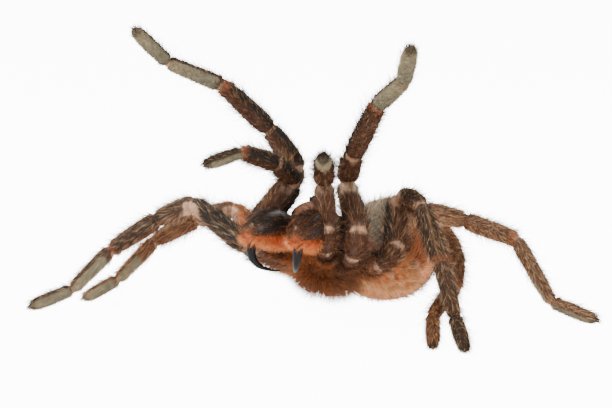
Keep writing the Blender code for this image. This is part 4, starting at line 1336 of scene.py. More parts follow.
    def share_of(self, along: np.ndarray) -> np.ndarray:
        """Part of its own segment's length at each place."""
        stops, index = np.array(self.stops), self.index_of(along)
        return np.clip((along - stops[index]) / (stops[index + 1] - stops[index]), 0.0, 1.0)

    def bare(self, along: np.ndarray, angle: np.ndarray) -> np.ndarray:
        """Where soft joint membranes show, from 0 to 1.

        Args:
            along: places along the skin.
            angle: angles round it.

        Returns:
            One where the skin is bare, else zero, and all between.
        """
        total = np.zeros_like(along)
        turned = np.abs(angle % (2.0 * math.pi) - math.pi)
        for part, stop in zip(self.segments, self.stops[1:-1]):
            soft = MEMBRANES[part]
            patch = soft.patch * (self.plan.knee if part is Segment.FEMUR else 1.0)
            under = np.sqrt(np.maximum(0.0, 1.0 - (turned / soft.spread) ** 2))
            wobble = 1.0 + 0.12 * np.sin(angle * 5.0 + stop) + 0.08 * np.sin(angle * 13.0 + stop * 2.0)
            reach = (soft.ring + patch * under) * wobble
            gap = np.abs(along - stop - soft.shift - soft.lean * patch * under)
            total = np.maximum(total, 1.0 - ease(0.8, 1.1, gap / np.maximum(reach, 0.02)))
        return total

    def worn_and_sheen(self, along: np.ndarray, angle: np.ndarray) -> np.ndarray:
        """Where the femur's underside is almost bare and is painted a pale sheen, from 0 to 1."""
        below = ease(0.62, 0.78, self.share_of(along)) * ease(0.2, 0.6, -np.cos(angle))
        return self.kind.raised * self.on(Segment.FEMUR, along) * below

    def pad(self, along: np.ndarray, angle: np.ndarray) -> np.ndarray:
        """Where the pale sole pads grow, from 0 to 1.

        Args:
            along: places along the skin.
            angle: angles round it.

        Returns:
            One on the pad, else zero, and all between.
        """
        share, under = self.share_of(along), -np.cos(angle)
        plan = self.plan.pad
        start, wide = plan.start, plan.left if self.side is Side.LEFT else plan.right
        tarsus = self.on(Segment.TARSUS, along) * ease(wide - 0.1, wide + 0.15, under)
        tarsus = tarsus * ease(0.02, 0.08, share)
        shank = self.on(Segment.METATARSUS, along) * ease(start, start + 0.08, share)
        shank = shank * ease(wide, wide + 0.25, under) * ease(1.0, 0.95, share)
        return np.clip(tarsus + shank, 0.0, 1.0) * (1.0 - self.bare(along, angle))

    def tint(self, along: np.ndarray, angle: np.ndarray) -> np.ndarray:
        """Markings of the limb, from its ground colour to its pads and bare joints, with painted shade in
        the membranes' folds and a painted pale sheen under the femora.

        Args:
            along: places along the skin.
            angle: angles round it.

        Returns:
            The colours.
        """
        share, top = self.share_of(along), np.cos(angle)
        colour = np.array(self.plan.colours)[self.segment_of(along)]
        lobe = (self.kind is Kind.PALP) * self.on(Segment.COXA, along) * ease(0.6, 0.3, share)
        colour = blend(colour, PALETTE.copper, lobe * ease(-0.6, 0.2, -top) * 0.7)
        below = self.segment_of(along) < Segment.METATARSUS.value
        colour = blend(colour, PALETTE.hind_femur, ease(-0.1, 0.8, -top) * 0.12 * below)
        above = self.kind.hind * self.on(Segment.FEMUR, along) * ease(0.0, 0.7, top)
        colour = blend(colour, PALETTE.hind, above * 0.6)
        turned = np.abs((angle + math.pi) % (2.0 * math.pi) - math.pi)
        shanks = self.on(Segment.PATELLA, along) | self.on(Segment.TIBIA, along)
        lines = np.exp(-(((turned - 0.42) / 0.12) ** 2)) * shanks
        colour = blend(colour, PALETTE.gold, lines * 0.35)
        tufts = self.on(Segment.TIBIA, along) * ease(0.86, 0.97, share)
        tufts = np.maximum(tufts, self.on(Segment.METATARSUS, along) * ease(0.94, 0.98, share))
        colour = blend(colour, PALETTE.hind_femur, tufts * 0.45)
        # Painted sheen: the bare femur underside is painted pale grey-pink, full on leg I and weaker on the
        # others.
        knee_sheen = self.worn_and_sheen(along, angle) * (1.0 if self.kind is Kind.LEG_1 else 0.6)
        colour = blend(colour, PALETTE.knee_sheen, knee_sheen)
        pale = blend(whole(PALETTE.pad, along), PALETTE.pad_end, ease(0.2, 1.0, share) * 0.6)
        colour = blend(colour, pale, self.pad(along, angle) * 0.95)
        toe = self.on(Segment.TARSUS, along) * ease(0.86, 0.95, share)
        colour = blend(colour, PALETTE.foot, toe * 0.7)
        # Painted shade: the grooves of the membranes' folds are painted darker, and their ridges paler.
        painted_ridge_light = 0.5 + 0.5 * np.cos(along * 2.0 * math.pi / self.fold_pitch)
        shaded_membrane = blend(whole(PALETTE.membrane_shade, along), PALETTE.membrane, 0.35 + 0.65 * painted_ridge_light)
        return blend(colour, shaded_membrane, self.bare(along, angle))

    def gloss(self, along: np.ndarray, angle: np.ndarray) -> np.ndarray:
        """Membranes and the femora's bare undersides shine."""
        return np.maximum(self.bare(along, angle) * 0.6, self.worn_and_sheen(along, angle))

    def furred(self, along: np.ndarray, angle: np.ndarray) -> np.ndarray:
        """Chance of lying hair: none on membranes, little on the pads."""
        clear = (1.0 - self.bare(along, angle)) * (1.0 - 0.93 * self.worn_and_sheen(along, angle))
        return clear * (1.0 - 0.85 * self.pad(along, angle))

    def bristled(self, along: np.ndarray, angle: np.ndarray) -> np.ndarray:
        """Chance of standing bristles, fewest on the feet.

        Args:
            along: places along the skin.
            angle: angles round it.

        Returns:
            Chances from zero to one.
        """
        segment = self.segment_of(along)
        toe = 0.3 * ease(0.8, 0.5, self.share_of(along))
        many = np.select([segment <= 1, segment <= 4, segment == 5], [0.8, 1.0, 0.5], toe)
        return self.furred(along, angle) * many

    def tufted(self, along: np.ndarray, angle: np.ndarray) -> np.ndarray:
        """Chance of the tufts at the ends of tibia and tarsus.

        Args:
            along: places along the skin.
            angle: angles round it.

        Returns:
            Chances from zero to one.
        """
        share = self.share_of(along)
        tibia = self.on(Segment.TIBIA, along) * ease(0.82, 0.9, share) * ease(-0.6, 0.4, -np.cos(angle))
        tarsus = self.on(Segment.TARSUS, along) * ease(0.84, 0.92, share)
        return np.clip(tibia + tarsus * 0.8, 0.0, 1.0)

    def brushed(self, along: np.ndarray, angle: np.ndarray) -> np.ndarray:
        """Chance of the long bristles that radiate under the leg's base."""
        return ease(-0.2, 0.5, -np.cos(angle)) * (1.0 - 0.8 * self.bare(along, angle))

    def stations(self) -> np.ndarray:
        """Places of the skin's rings, closest at the joints and at the tip.

        Returns:
            The places in order.
        """
        first, last = self.ends()
        places = [np.arange(first, last - self.tip_length, self.ring_step)]
        for stop in self.stops[1:-1]:
            start = max(first, stop - self.joint_stretch)
            places.append(np.arange(start, stop + self.joint_stretch, self.joint_step))
        rounded = last - self.tip_length * (1.0 - np.sin(np.linspace(0.05, 1.0, 7) * math.pi / 2.0))
        places = np.unique(np.round(np.concatenate([*places, rounded - 0.02]), 3))
        keep = np.concatenate([[True], np.diff(places) > 0.05])
        return places[keep]

    def lots(self) -> tuple[Lot, ...]:
        """The limb's kinds of hair, from its velvet to the dark bristles of its base.

        Returns:
            The lots in the order in which they are rooted.
        """
        last, glow, hind = self.ends()[1], self.plan.glow, self.kind.hind
        share = 0.6 if self.kind is Kind.PALP else 1.0
        pale = {"light_colour": glow.colour}
        short = Hair((0.8, 1.5), 0.11, 20, 8, 9, joints=0, light=glow.short, tip=glow.tip, **pale)
        middle = Hair((1.8, 3.2), 0.075, 32, 9, 13, light=glow.middle, tip=0.5, **pale)
        long = Hair((2.6, 4.2), 0.065, 54, 30, 14, light=0.25, light_colour=PALETTE.gold, tip=0.7)
        pads = Hair((0.4, 0.7), 0.12, 66, 60, 20, joints=0, tip=0.15)
        tufts = Hair((1.0, 1.9), 0.09, 34, 14, 18, tip=0.3)
        reach, warmth = ((1.9, 3.6), 0.45) if hind else ((1.3, 2.7), 0.25)
        ends = PALETTE.straw if hind else PALETTE.copper
        brush = Hair(reach, 0.07, 50, 26, 16, light=warmth, light_colour=ends, tip=0.8)
        dark = {"tone": PALETTE.shank, "tone_share": 0.9 if hind else 0.0}
        spots = Hair((1.3, 2.6), 0.085, 46, 22, 14, tip=0.3, **dark)
        return (
            Lot(short, int(15500 * share), self.furred),
            Lot(middle, int(3600 * share), self.furred),
            Lot(long, int(1500 * share), self.bristled),
            Lot(pads, int(9000 * share), self.pad, (self.stops[-3], last - 0.1)),
            Lot(tufts, int(5200 * share), self.tufted, (self.stops[4], last - 0.05)),
            Lot(brush, 2000, self.brushed, (0.5, self.stops[2] - 1.0)),
            Lot(spots, 800, self.brushed, (0.5, self.stops[2] + 4.0)),
        )

    def dress(self, finishes: Finishes, seed: int) -> None:
        """Build the skin and its coat and set them out.

        Args:
            finishes: the materials.
            seed: the coat's own seed.
        """
        parts = ["hip", "femur", "patella", "tibia", "tarsus" if self.kind is Kind.PALP else "foot"]
        nodes = tuple(f"{self.name}_{part}" for part in parts)
        self.set_skin(f"skin_{self.name}", self.stations(), self.sides, finishes.skin, "leg", nodes)
        Coat(f"coat_{self.name}", seed).cover(self, self.lots(), finishes.hair, "leg")


@dataclass
class Carapace(Surface):
    """The domed shield over the prosoma, with its rim and its radial furrows."""

    middle: float = 0.5
    half_length: float = 13.0
    half_width: float = 11.4
    rim: float = 4.0
    front_rise: float = 5.3
    dome: float = 6.0
    edge: float = 0.9
    brow: float = 0.45
    depth: float = 0.25
    fovea: float = -3.0
    fovea_depth: float = 1.2
    furrow_depth: float = 0.32
    head_groove: float = 0.45
    head_half_width: float = 4.6
    narrowing: float = 0.35
    edge_place: float = 0.42
    edge_share: float = 0.985
    top_share: float = 0.01

    def rim_height(self, forward: np.ndarray) -> np.ndarray:
        """Height of the edge above the coxae."""
        return self.rim + self.front_rise * ease(-1.0, 14.5, forward)

    def points(self, along: np.ndarray, angle: np.ndarray) -> np.ndarray:
        """Points from the underside's middle over the rim to the top.

        Args:
            along: places along the skin.
            angle: angles round it.

        Returns:
            The points in millimetres.
        """
        shares = (0.45, 0.99, self.edge_share, self.top_share)
        share = np.interp(along, (0.0, 0.3, self.edge_place, 1.0), shares)
        under = np.interp(along, (0.0, 0.3, 0.38, 1.0), (1.0, 1.0, 0.0, 0.0))
        ahead, aside = np.cos(angle), np.sin(angle)
        forward = self.middle + (self.half_length - self.depth) * ahead * share
        front = np.clip(ahead, 0.0, 1.0)
        aside = np.where(ahead > 0.0, np.sign(aside) * np.abs(aside) ** 0.7, aside)
        left = (self.half_width - self.depth) * (1.0 - self.narrowing * front ** 0.8) * aside * share
        dome = self.dome * np.maximum(0.0, 1.0 - share ** 2) ** 0.6
        behind = forward - self.fovea
        fovea = self.fovea_depth * np.exp(-((behind / 1.3) ** 2) - (left / 2.0) ** 2)
        furrows = self.furrow_depth * np.cos(np.arctan2(left, behind) * 8.0)
        furrows = furrows * ease(1.5, 4.0, np.hypot(left, behind)) * ease(1.0, 0.75, share)
        off = (np.abs(left) - self.head_half_width - (forward - 4.0) * 0.12) / 0.8
        head = -self.head_groove * np.exp(-(off ** 2)) * ease(0.0, 4.0, forward)
        head = head * ease(1.0, 0.8, share)
        top = self.rim_height(forward) - self.depth + dome - fovea + furrows + head
        bottom = self.rim_height(forward) - self.edge + 0.1 - self.brow * ease(0.3, 0.9, ahead)
        return on_body_all(forward, left, np.where(under > 0.5, bottom, top))

    def middles(self, along: np.ndarray) -> np.ndarray:
        """A point inside the shield."""
        return whole(on_body(self.middle, 0.0, self.rim + 2.2), along)

    def tint(self, along: np.ndarray, angle: np.ndarray) -> np.ndarray:
        """Black-brown with bronze rays and a paler rim."""
        colour = blend(whole(PALETTE.head, along), PALETTE.bronze, (0.5 + 0.5 * np.cos(angle * 8.0)) * 0.75)
        return blend(colour, PALETTE.rim, 1.0 - ease(0.5, 0.58, along))

    def gloss(self, along: np.ndarray, angle: np.ndarray) -> np.ndarray:
        """The shield has a dull polish, and its rim a bright one."""
        return 0.4 + 0.5 * (1.0 - ease(0.5, 0.58, along))

    def over(self, along: np.ndarray, angle: np.ndarray) -> np.ndarray:
        """Chance of short hair, even over the area."""
        return 1.04 - np.clip((along - self.edge_place) / (1.0 - self.edge_place), 0.0, 1.0)

    def place_at(self, forward: float) -> float:
        """Place along the top of a point of the midline, from how far forward it lies."""
        share = self.edge_share - (forward - self.middle) / self.half_length
        return self.edge_place + share / (self.edge_share - self.top_share) * (1.0 - self.edge_place)

    def rimmed(self, along: np.ndarray, angle: np.ndarray) -> np.ndarray:
        """Chance of the rim's fringe, least in front."""
        return 1.0 - 0.94 * ease(0.2, 0.7, np.cos(angle))

    def dress(self, finishes: Finishes) -> None:
        """Build the shield, its short coat and the fringe of its rim.

        Args:
            finishes: the materials.
        """
        stretches = (np.linspace(0.0, 0.3, 8), np.linspace(0.32, 0.42, 5), np.linspace(0.45, 1.0, 36))
        self.set_skin("skin_carapace", np.concatenate(stretches), 96, finishes.skin, "head", ("carapace",))
        short = Hair((0.5, 1.0), 0.09, 15, 8, joints=0, light=0.4, light_colour=PALETTE.gold)
        fringe = Hair((1.2, 2.2), 0.09, 34, 14, 18, light=0.6, light_colour=PALETTE.rim, tip=0.5)
        lots = (Lot(short, 19000, self.over, (0.55, 0.99)), Lot(fringe, 1300, self.rimmed, (0.34, 0.47)))
        Coat("coat_carapace", 51).cover(Flipped(self), lots, finishes.hair, "head")


@dataclass
class Flipped(Surface):
    """A surface whose coat lies the other way along it."""

    inner: Surface

    def ends(self) -> tuple[float, float]:
        """Ends of the wrapped surface."""
        return self.inner.ends()

    def tint(self, along: np.ndarray, angle: np.ndarray) -> np.ndarray:
        """Markings of the wrapped surface."""
        return self.inner.tint(along, angle)

    def frames(self, along: np.ndarray, angle: np.ndarray) -> tuple[np.ndarray, np.ndarray, np.ndarray]:
        """Frames of the wrapped surface with the lie turned round."""
        points, normal, lie = self.inner.frames(along, angle)
        return points, normal, -lie


@dataclass
class Chelicera(Surface):
    """One of the two big jaws that carry the fangs."""

    side: Side = Side.LEFT
    base: tuple[float, float, float] = (11.4, 4.3, 5.2)
    turn: float = 9.0
    droop: float = 20.0
    length: float = 14.0
    depth: float = 0.35
    tuck: float = 1.1
    arch: float = 0.7
    furrow: float = 0.9
    furrow_reach: float = 0.4
    profile: tuple[tuple[float, float, float], ...] = (
        (0.0, 3.7, 4.0),
        (0.18, 3.95, 4.6),
        (0.42, 4.05, 4.75),
        (0.68, 3.75, 4.2),
        (0.86, 3.1, 3.3),
        (0.96, 2.2, 2.3),
        (1.0, 1.2, 1.2),
    )

    def __post_init__(self) -> None:
        """Work out the jaw's axes."""
        turn, droop, sign = math.radians(self.turn), math.radians(self.droop), self.side.value
        level = FORWARD * math.cos(turn) + LEFT * sign * math.sin(turn)
        self.axis = level * math.cos(droop) - UP * math.sin(droop)
        self.start = on_body(self.base[0], self.base[1] * sign, self.base[2])
        self.top = (UP - self.axis * UP.dot(self.axis)).normalized()
        self.across = self.axis.cross(self.top)

    def middles(self, along: np.ndarray) -> np.ndarray:
        """Points of the jaw's middle line.

        Args:
            along: places along the skin.

        Returns:
            The points in millimetres.
        """
        arch = self.arch * np.sin(math.pi * along)
        start, axis, top = (np.array(item) for item in (self.start, self.axis, self.top))
        return start + axis * (along * self.length)[:, None] + top * arch[:, None]

    def points(self, along: np.ndarray, angle: np.ndarray) -> np.ndarray:
        """Points of the jaw's skin, with a groove for the fang below its end.

        Args:
            along: places along the skin.
            angle: angles round it.

        Returns:
            The points in millimetres.
        """
        marks, widths, heights = np.array(self.profile).T
        shade = self.depth * ease(1.0, 0.9, along)
        wide = np.interp(along, marks, widths) - shade
        high = np.interp(along, marks, heights) - shade
        top, across = np.array(self.top), np.array(self.across)
        groove = self.furrow * np.exp(-(((angle - math.pi) / self.furrow_reach) ** 2))
        groove = groove * ease(0.35, 0.7, along) * ease(1.0, 0.92, along)
        tuck = self.tuck * ease(0.5, 0.1, along) * ease(0.1, 0.6, np.cos(angle))
        rise = top * (np.cos(angle) * (high - groove - tuck))[:, None]
        return self.middles(along) + rise + across * (np.sin(angle) * wide)[:, None]

    def tint(self, along: np.ndarray, angle: np.ndarray) -> np.ndarray:
        """Black-brown above, flame-coloured below.

        Args:
            along: places along the skin.
            angle: angles round it.

        Returns:
            The colours.
        """
        below = -np.cos(angle)
        colour = blend(whole(PALETTE.head, along), PALETTE.rust, ease(0.1, 0.4, below) * 0.7)
        colour = blend(colour, PALETTE.flame, ease(0.36, 0.64, below))
        return blend(colour, PALETTE.rust, ease(0.9, 1.0, along) * 0.5)

    def gloss(self, along: np.ndarray, angle: np.ndarray) -> np.ndarray:
        """The back is polished."""
        return ease(-0.3, 0.4, np.cos(angle)) * ease(0.2, 0.5, along) * 0.75

    def stripes(self, along: np.ndarray, angle: np.ndarray) -> np.ndarray:
        """Chance of lying hair: lengthwise bands with bare glossy lines between them.

        Args:
            along: places along the skin.
            angle: angles round it.

        Returns:
            Chances from zero to one.
        """
        bands = 0.1 + 0.9 * (np.cos(angle * 7.0 + 0.6) > 0.1)
        polish = 1.0 - 0.75 * ease(0.2, 0.7, np.cos(angle)) * (self.side is Side.RIGHT)
        return bands * polish * ease(1.0, 0.97, along) * ease(0.0, 0.12, along)

    def tufted(self, along: np.ndarray, angle: np.ndarray) -> np.ndarray:
        """Chance of long hair, most on the upper half of the left jaw and at both jaws' ends.

        Args:
            along: places along the skin.
            angle: angles round it.

        Returns:
            Chances from zero to one.
        """
        upper = ease(-0.4, 0.5, np.cos(angle)) * (1.0 if self.side is Side.LEFT else 0.15)
        chance = upper * 0.8 + 0.06 + 0.4 * ease(0.8, 0.95, along)
        return np.clip(chance, 0.0, 1.0) * ease(0.12, 0.4, along)

    def fringed(self, along: np.ndarray, angle: np.ndarray) -> np.ndarray:
        """Chance of the flame-coloured fringe along the fang's furrow."""
        return ease(0.32, 0.66, -np.cos(angle)) * ease(1.0, 0.97, along)

    def dress(self, finishes: Finishes) -> None:
        """Build the jaw, its lengthwise hairs and its flame-coloured fringe.

        Args:
            finishes: the materials.
        """
        name = f"chelicera_{self.side.word}"
        stations = np.concatenate([np.linspace(0.0, 0.9, 34), np.linspace(0.91, 0.999, 14)])
        self.set_skin(f"skin_{name}", stations, 48, finishes.skin, "head", (name,))
        short = Hair((0.8, 1.6), 0.07, 14, 6, 8, light=0.14, light_colour=PALETTE.orange, tip=0.3)
        long = Hair((2.2, 4.0), 0.055, 17, 6, 7, joints=2, light=0.5, light_colour=PALETTE.copper, tip=0.5)
        fringe = Hair((1.6, 2.9), 0.08, 50, 26, 22, light=0.5, light_colour=PALETTE.salmon, tip=0.4)
        lots = (
            Lot(short, 6500, self.stripes),
            Lot(long, 1700, self.tufted),
            Lot(fringe, 9000, self.fringed),
        )
        seed = 61 if self.side is Side.LEFT else 62
        Coat(f"coat_{name}", seed).cover(self, lots, finishes.hair, "head")


@dataclass
class Abdomen(Surface):
    """The egg-shaped abdomen, resting on the floor."""

    middle: tuple[float, float, float] = (-2.4, 29.9, 12.3)
    half: tuple[float, float, float] = (11.4, 16.8, 12.6)
    depth: float = 0.15
    swelling: float = 0.1
    floor_gap: float = 0.1
    row_count: float = 30.0
    row_bow: float = 3.0

    def points(self, along: np.ndarray, angle: np.ndarray) -> np.ndarray:
        """Points from the pedicel backwards.

        Args:
            along: places along the skin.
            angle: angles round it.

        Returns:
            The points in millimetres.
        """
        along = np.clip(along, -1.0, 1.0)
        swell = np.sqrt(np.maximum(0.0, 1.0 - along ** 2)) * (1.0 + self.swelling * along)
        wide, long, high = np.array(self.half) - self.depth
        x = self.middle[0] + wide * swell * np.sin(angle)
        y = self.middle[1] + long * along
        z = self.middle[2] + high * swell * np.cos(angle)
        return np.stack([x, y, np.maximum(z, self.floor_gap)], axis=1)

    def middles(self, along: np.ndarray) -> np.ndarray:
        """The abdomen's middle."""
        return whole(self.middle, along)

    def ends(self) -> tuple[float, float]:
        """Along the abdomen from front to back."""
        return -1.0, 1.0

    def tint(self, along: np.ndarray, angle: np.ndarray) -> np.ndarray:
        """Orange at the sides, salmon below, olive-grey above and olive-brown behind.

        Args:
            along: places along the skin.
            angle: angles round it.

        Returns:
            The colours.
        """
        top = np.cos(angle)
        colour = blend(whole(PALETTE.orange, along), PALETTE.salmon, ease(-0.35, -0.75, top) * 0.7)
        colour = blend(colour, PALETTE.olive, ease(0.2, 0.6, top))
        return blend(colour, PALETTE.belly, ease(0.2, 0.6, along - 0.25 * top))

    def wave(self, along: np.ndarray, angle: np.ndarray) -> np.ndarray:
        """Height of the waves whose crests are the rows of bristles."""
        return np.sin(self.row_count * along + self.row_bow * np.cos(angle))

    def rows(self, along: np.ndarray, angle: np.ndarray) -> np.ndarray:
        """Chance of pale bristles, gathered in curved rows."""
        return 0.12 + 0.88 * (self.wave(along, angle) > 0.25)

    def gaps(self, along: np.ndarray, angle: np.ndarray) -> np.ndarray:
        """Chance of dark bristles, between the rows of pale ones."""
        return 0.05 + 0.95 * (self.wave(along, angle) < -0.35)

    def velvet(self, along: np.ndarray, angle: np.ndarray) -> np.ndarray:
        """Chance of lying hair, thin on the orange flanks in front."""
        flank = ease(0.5, 0.2, np.cos(angle)) * ease(0.45, 0.1, along)
        return 1.0 - 0.8 * flank

    def dress(self, finishes: Finishes) -> None:
        """Build the abdomen, its coat and its long bristles.

        Args:
            finishes: the materials.
        """
        stations = -np.cos(math.pi * np.linspace(0.004, 0.996, 80))
        self.set_skin("skin_abdomen", stations, 80, finishes.skin, "abdomen", ("abdomen",))
        pale = {"light_colour": PALETTE.straw}
        short = Hair((0.9, 1.7), 0.11, 22, 8, 9, joints=0, light=0.35, **pale)
        rows = Hair((1.6, 3.0), 0.09, 38, 12, 8, light=0.8, tip=0.6, **pale)
        dark = Hair((1.4, 2.6), 0.085, 42, 16, 10, tone=PALETTE.mid, tone_share=0.85, tip=0.3)
        long = Hair((3.0, 5.0), 0.075, 46, 20, 12, light=0.7, tip=0.5, **pale)
        lots = (
            Lot(short, 23000, self.velvet),
            Lot(rows, 7000, self.rows),
            Lot(dark, 4600, self.gaps),
            Lot(long, 2600, self.velvet),
        )
        Coat("coat_abdomen", 71).cover(self, lots, finishes.hair, "abdomen")


@dataclass
class Underside(Surface):
    """Sternum, labium and the body's core between the coxae, as one form."""

    top: float = 4.0
    bottom: float = -5.3
    sag: float = 2.6
    centre: float = 0.4
    rim: float = 0.62
    outline: tuple[tuple[float, float], ...] = (
        (8.2, 0.8),
        (7.4, 1.7),
        (5.8, 2.9),
        (3.2, 4.3),
        (0.4, 4.9),
        (-2.4, 4.9),
        (-5.2, 4.0),
        (-7.4, 1.8),
    )

    def points(self, along: np.ndarray, angle: np.ndarray) -> np.ndarray:
        """Points from the bottom's middle up the sides.

        Args:
            along: places along the skin.
            angle: angles round it.

        Returns:
            The points in millimetres.
        """
        half = np.array(self.outline)
        ring = np.concatenate([half, half[::-1] * np.array([1.0, -1.0])])
        turns = np.arctan2(ring[:, 1], ring[:, 0] - self.centre) % (2.0 * math.pi)
        order = np.argsort(turns)
        turns, ring = turns[order], ring[order]
        turns = np.concatenate([turns[-1:] - 2.0 * math.pi, turns, turns[:1] + 2.0 * math.pi])
        ring = np.concatenate([ring[-1:], ring, ring[:1]])
        turn = angle % (2.0 * math.pi)
        forward, left = np.interp(turn, turns, ring[:, 0]), np.interp(turn, turns, ring[:, 1])
        quarter = math.pi / 2.0 / self.rim
        bowl = np.sin(np.clip(along, 0.02, self.rim) * quarter)
        share = np.where(along < self.rim, bowl, np.interp(along, (self.rim, 1.0), (1.0, 0.97)))
        sunk = np.cos(np.clip(along, 0.0, self.rim) * quarter)
        edge = self.bottom + self.sag
        height = edge + (self.bottom - edge) * sunk + (self.top - edge) * ease(self.rim, 1.0, along)
        return on_body_all(self.centre + (forward - self.centre) * share, left * share, height)

    def middles(self, along: np.ndarray) -> np.ndarray:
        """A point inside the body."""
        return whole(on_body(self.centre, 0.0, 1.0), along)

    def tint(self, along: np.ndarray, angle: np.ndarray) -> np.ndarray:
        """Rusty brown, coppery in front and dark at the other sides.

        Args:
            along: places along the skin.
            angle: angles round it.

        Returns:
            The colours.
        """
        ahead = ease(0.55, 0.9, np.cos(angle))
        colour = blend(whole(PALETTE.rust, along), PALETTE.copper, ease(0.45, 0.1, along) * 0.15)
        colour = blend(colour, PALETTE.copper, ahead * ease(0.2, 0.6, along) * 0.6)
        return blend(colour, PALETTE.shank, ease(0.45, 0.7, along) * (1.0 - ahead) * 0.7)

    def hung(self, along: np.ndarray, angle: np.ndarray) -> np.ndarray:
        """Chance of hanging bristles, even over the area."""
        return 0.1 + 0.9 * np.clip(along / 0.6, 0.0, 1.0)

    def dress(self, finishes: Finishes) -> None:
        """Build the underside with its hanging bristles.

        Args:
            finishes: the materials.
        """
        stations = np.concatenate([np.linspace(0.02, self.rim, 16), np.linspace(0.66, 1.0, 8)])
        self.set_skin("skin_sternum", stations, 48, finishes.skin, "under", ("sternum",))
        long = Hair((3.0, 5.4), 0.08, 70, 56, 22, light=0.3, light_colour=PALETTE.copper, tip=0.5)
        lots = (Lot(long, 11800, self.hung, (0.02, 0.9)),)
        Coat("coat_sternum", 81).cover(self, lots, finishes.hair, "under")


@dataclass
class Spike(Surface):
    """A curved tapering form on three points: a fang, a claw or a spinneret."""

    root: Vector
    bend: Vector
    tip: Vector
    radius: float = 1.0
    thin: float = 0.9
    power: float = 1.3
    colour: Colour = PALETTE.head
    aside: tuple[float, float, float] = (0.31, 0.17, 0.94)

    def middles(self, along: np.ndarray) -> np.ndarray:
        """Points of the curved middle line.

        Args:
            along: places along the skin.

        Returns:
            The points in millimetres.
        """
        share = along[:, None]
        root, bend, tip = (np.array(item) for item in (self.root, self.bend, self.tip))
        return root * (1 - share) ** 2 + bend * 2 * share * (1 - share) + tip * share ** 2

    def points(self, along: np.ndarray, angle: np.ndarray) -> np.ndarray:
        """Points of the spike's skin.

        Args:
            along: places along the skin.
            angle: angles round it.

        Returns:
            The points in millimetres.
        """
        share = along[:, None]
        root, bend, tip = (np.array(item) for item in (self.root, self.bend, self.tip))
        tangent = unit((bend - root) * (1 - share) + (tip - bend) * share)
        side = unit(np.cross(tangent, whole(self.aside, along)))
        up = np.cross(side, tangent)
        radius = (self.radius * (1.0 - self.thin * along ** self.power))[:, None]
        out = side * np.cos(angle)[:, None] + up * np.sin(angle)[:, None]
        return self.middles(along) + out * radius

    def tint(self, along: np.ndarray, angle: np.ndarray) -> np.ndarray:
        """One colour."""
        return whole(self.colour, along)

    def even(self, along: np.ndarray, angle: np.ndarray) -> np.ndarray:
        """The same chance of hair all over."""
        return np.ones_like(along)


@dataclass
class Fang:
    """A fang, hinged below the end of its chelicera."""

    jaw: Chelicera
    at: float = 0.9
    drop: float = 1.6
    bend: tuple[float, float, float] = (0.3, -1.8, -5.6)
    tip: tuple[float, float, float] = (-4.2, 4.6, -8.0)
    sweep: tuple[float, float, float] = (0.4, -0.3, -1.2)
    lift: float = 0.6
    radius: float = 1.15
    rings: int = 8

    def spike(self, curved: bool = False) -> Spike:
        """The fang's form.

        Args:
            curved: whether it is the tooth itself, more curved than its solid.

        Returns:
            A spike on the fang's root, bend and tip.
        """
        jaw = self.jaw
        flip = Vector((jaw.side.value, 1.0, 1.0))
        root = jaw.start + jaw.axis * jaw.length * self.at - jaw.top * self.drop
        bend, tip = root + Vector(self.bend) * flip, root + Vector(self.tip) * flip
        if curved:
            bend += Vector(self.sweep) * flip
            tip.z += self.lift
        return Spike(root=root, bend=bend, tip=tip, radius=self.radius)

    def corners(self) -> np.ndarray:
        """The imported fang's corners, as many round each of its rings as it has rings.

        Returns:
            The points in millimetres.
        """
        spike, sign = self.spike(), self.jaw.side.value
        corners = []
        for share in np.arange(self.rings) / (self.rings - 1):
            point = Vector(spike.middles(np.array([share]))[0])
            tangent = (spike.bend - spike.root) * (1 - share) + (spike.tip - spike.bend) * share
            tangent.normalize()
            back = Vector((sign, 0.0, 0.0))
            back = (back - tangent * back.dot(tangent)).normalized()
            across = tangent.cross(back)
            radius = self.radius * (1.0 - spike.thin * share ** spike.power)
            for angle in 2.0 * math.pi * (np.arange(self.rings) + 0.5) / self.rings:
                corners.append(point + (back * math.cos(angle) + across * math.sin(angle)) * radius)
        return np.array([tuple(corner) for corner in corners])

    def dress(self, finishes: Finishes) -> None:
        """Build the polished fang.

        Args:
            finishes: the materials.
        """
        word = self.jaw.side.word
        stations = np.concatenate([np.linspace(0.0, 0.9, 26), np.linspace(0.92, 1.0, 6)])
        tooth = self.spike(curved=True)
        tooth.set_skin(f"fang_tooth_{word}", stations, 24, finishes.fang, "fang", (f"fang_{word}",))


@dataclass
class Spinneret:
    """One of the two long spinnerets behind the abdomen."""

    side: Side
    along: float = 0.93
    spread: float = 0.55
    length: float = 7.0
    radius: float = 0.95
    sunk: float = 0.8
    first_share: float = 0.45
    second_share: float = 0.6
    rise: tuple[float, float, float] = (0.25, 0.8, 0.55)

    def dress(self, finishes: Finishes) -> None:
        """Build the spinneret, curved up and out.

        Args:
            finishes: the materials.
        """
        sign = self.side.value
        full = Abdomen(depth=0.0)
        root = Vector(full.points(np.array([self.along]), np.array([math.pi - sign * self.spread]))[0])
        off = root - Vector(full.middle)
        out = Vector([value / size ** 2 for value, size in zip(off, full.half)]).normalized()
        rise = (Vector(self.rise) * Vector((sign, 1.0, 1.0))).normalized()
        root = root - out * self.sunk
        bend = root + out * self.length * self.first_share
        tip = bend + (out * 0.3 + rise).normalized() * self.length * self.second_share
        spike = Spike(root=root, bend=bend, tip=tip, radius=self.radius, thin=0.55, colour=PALETTE.rust)
        name, stations = f"spinneret_{self.side.word}", np.linspace(0.0, 1.0, 24)
        spike.set_skin(f"skin_{name}", stations, 20, finishes.skin, "under", (name,))
        short = Hair((0.7, 1.3), 0.11, 26, 10, light=0.4, light_colour=PALETTE.gold)
        lots = (Lot(short, 700, spike.even, (0.1, 0.98)),)
        Coat(f"coat_{name}", 91 if sign > 0 else 92).cover(spike, lots, finishes.hair, "under")


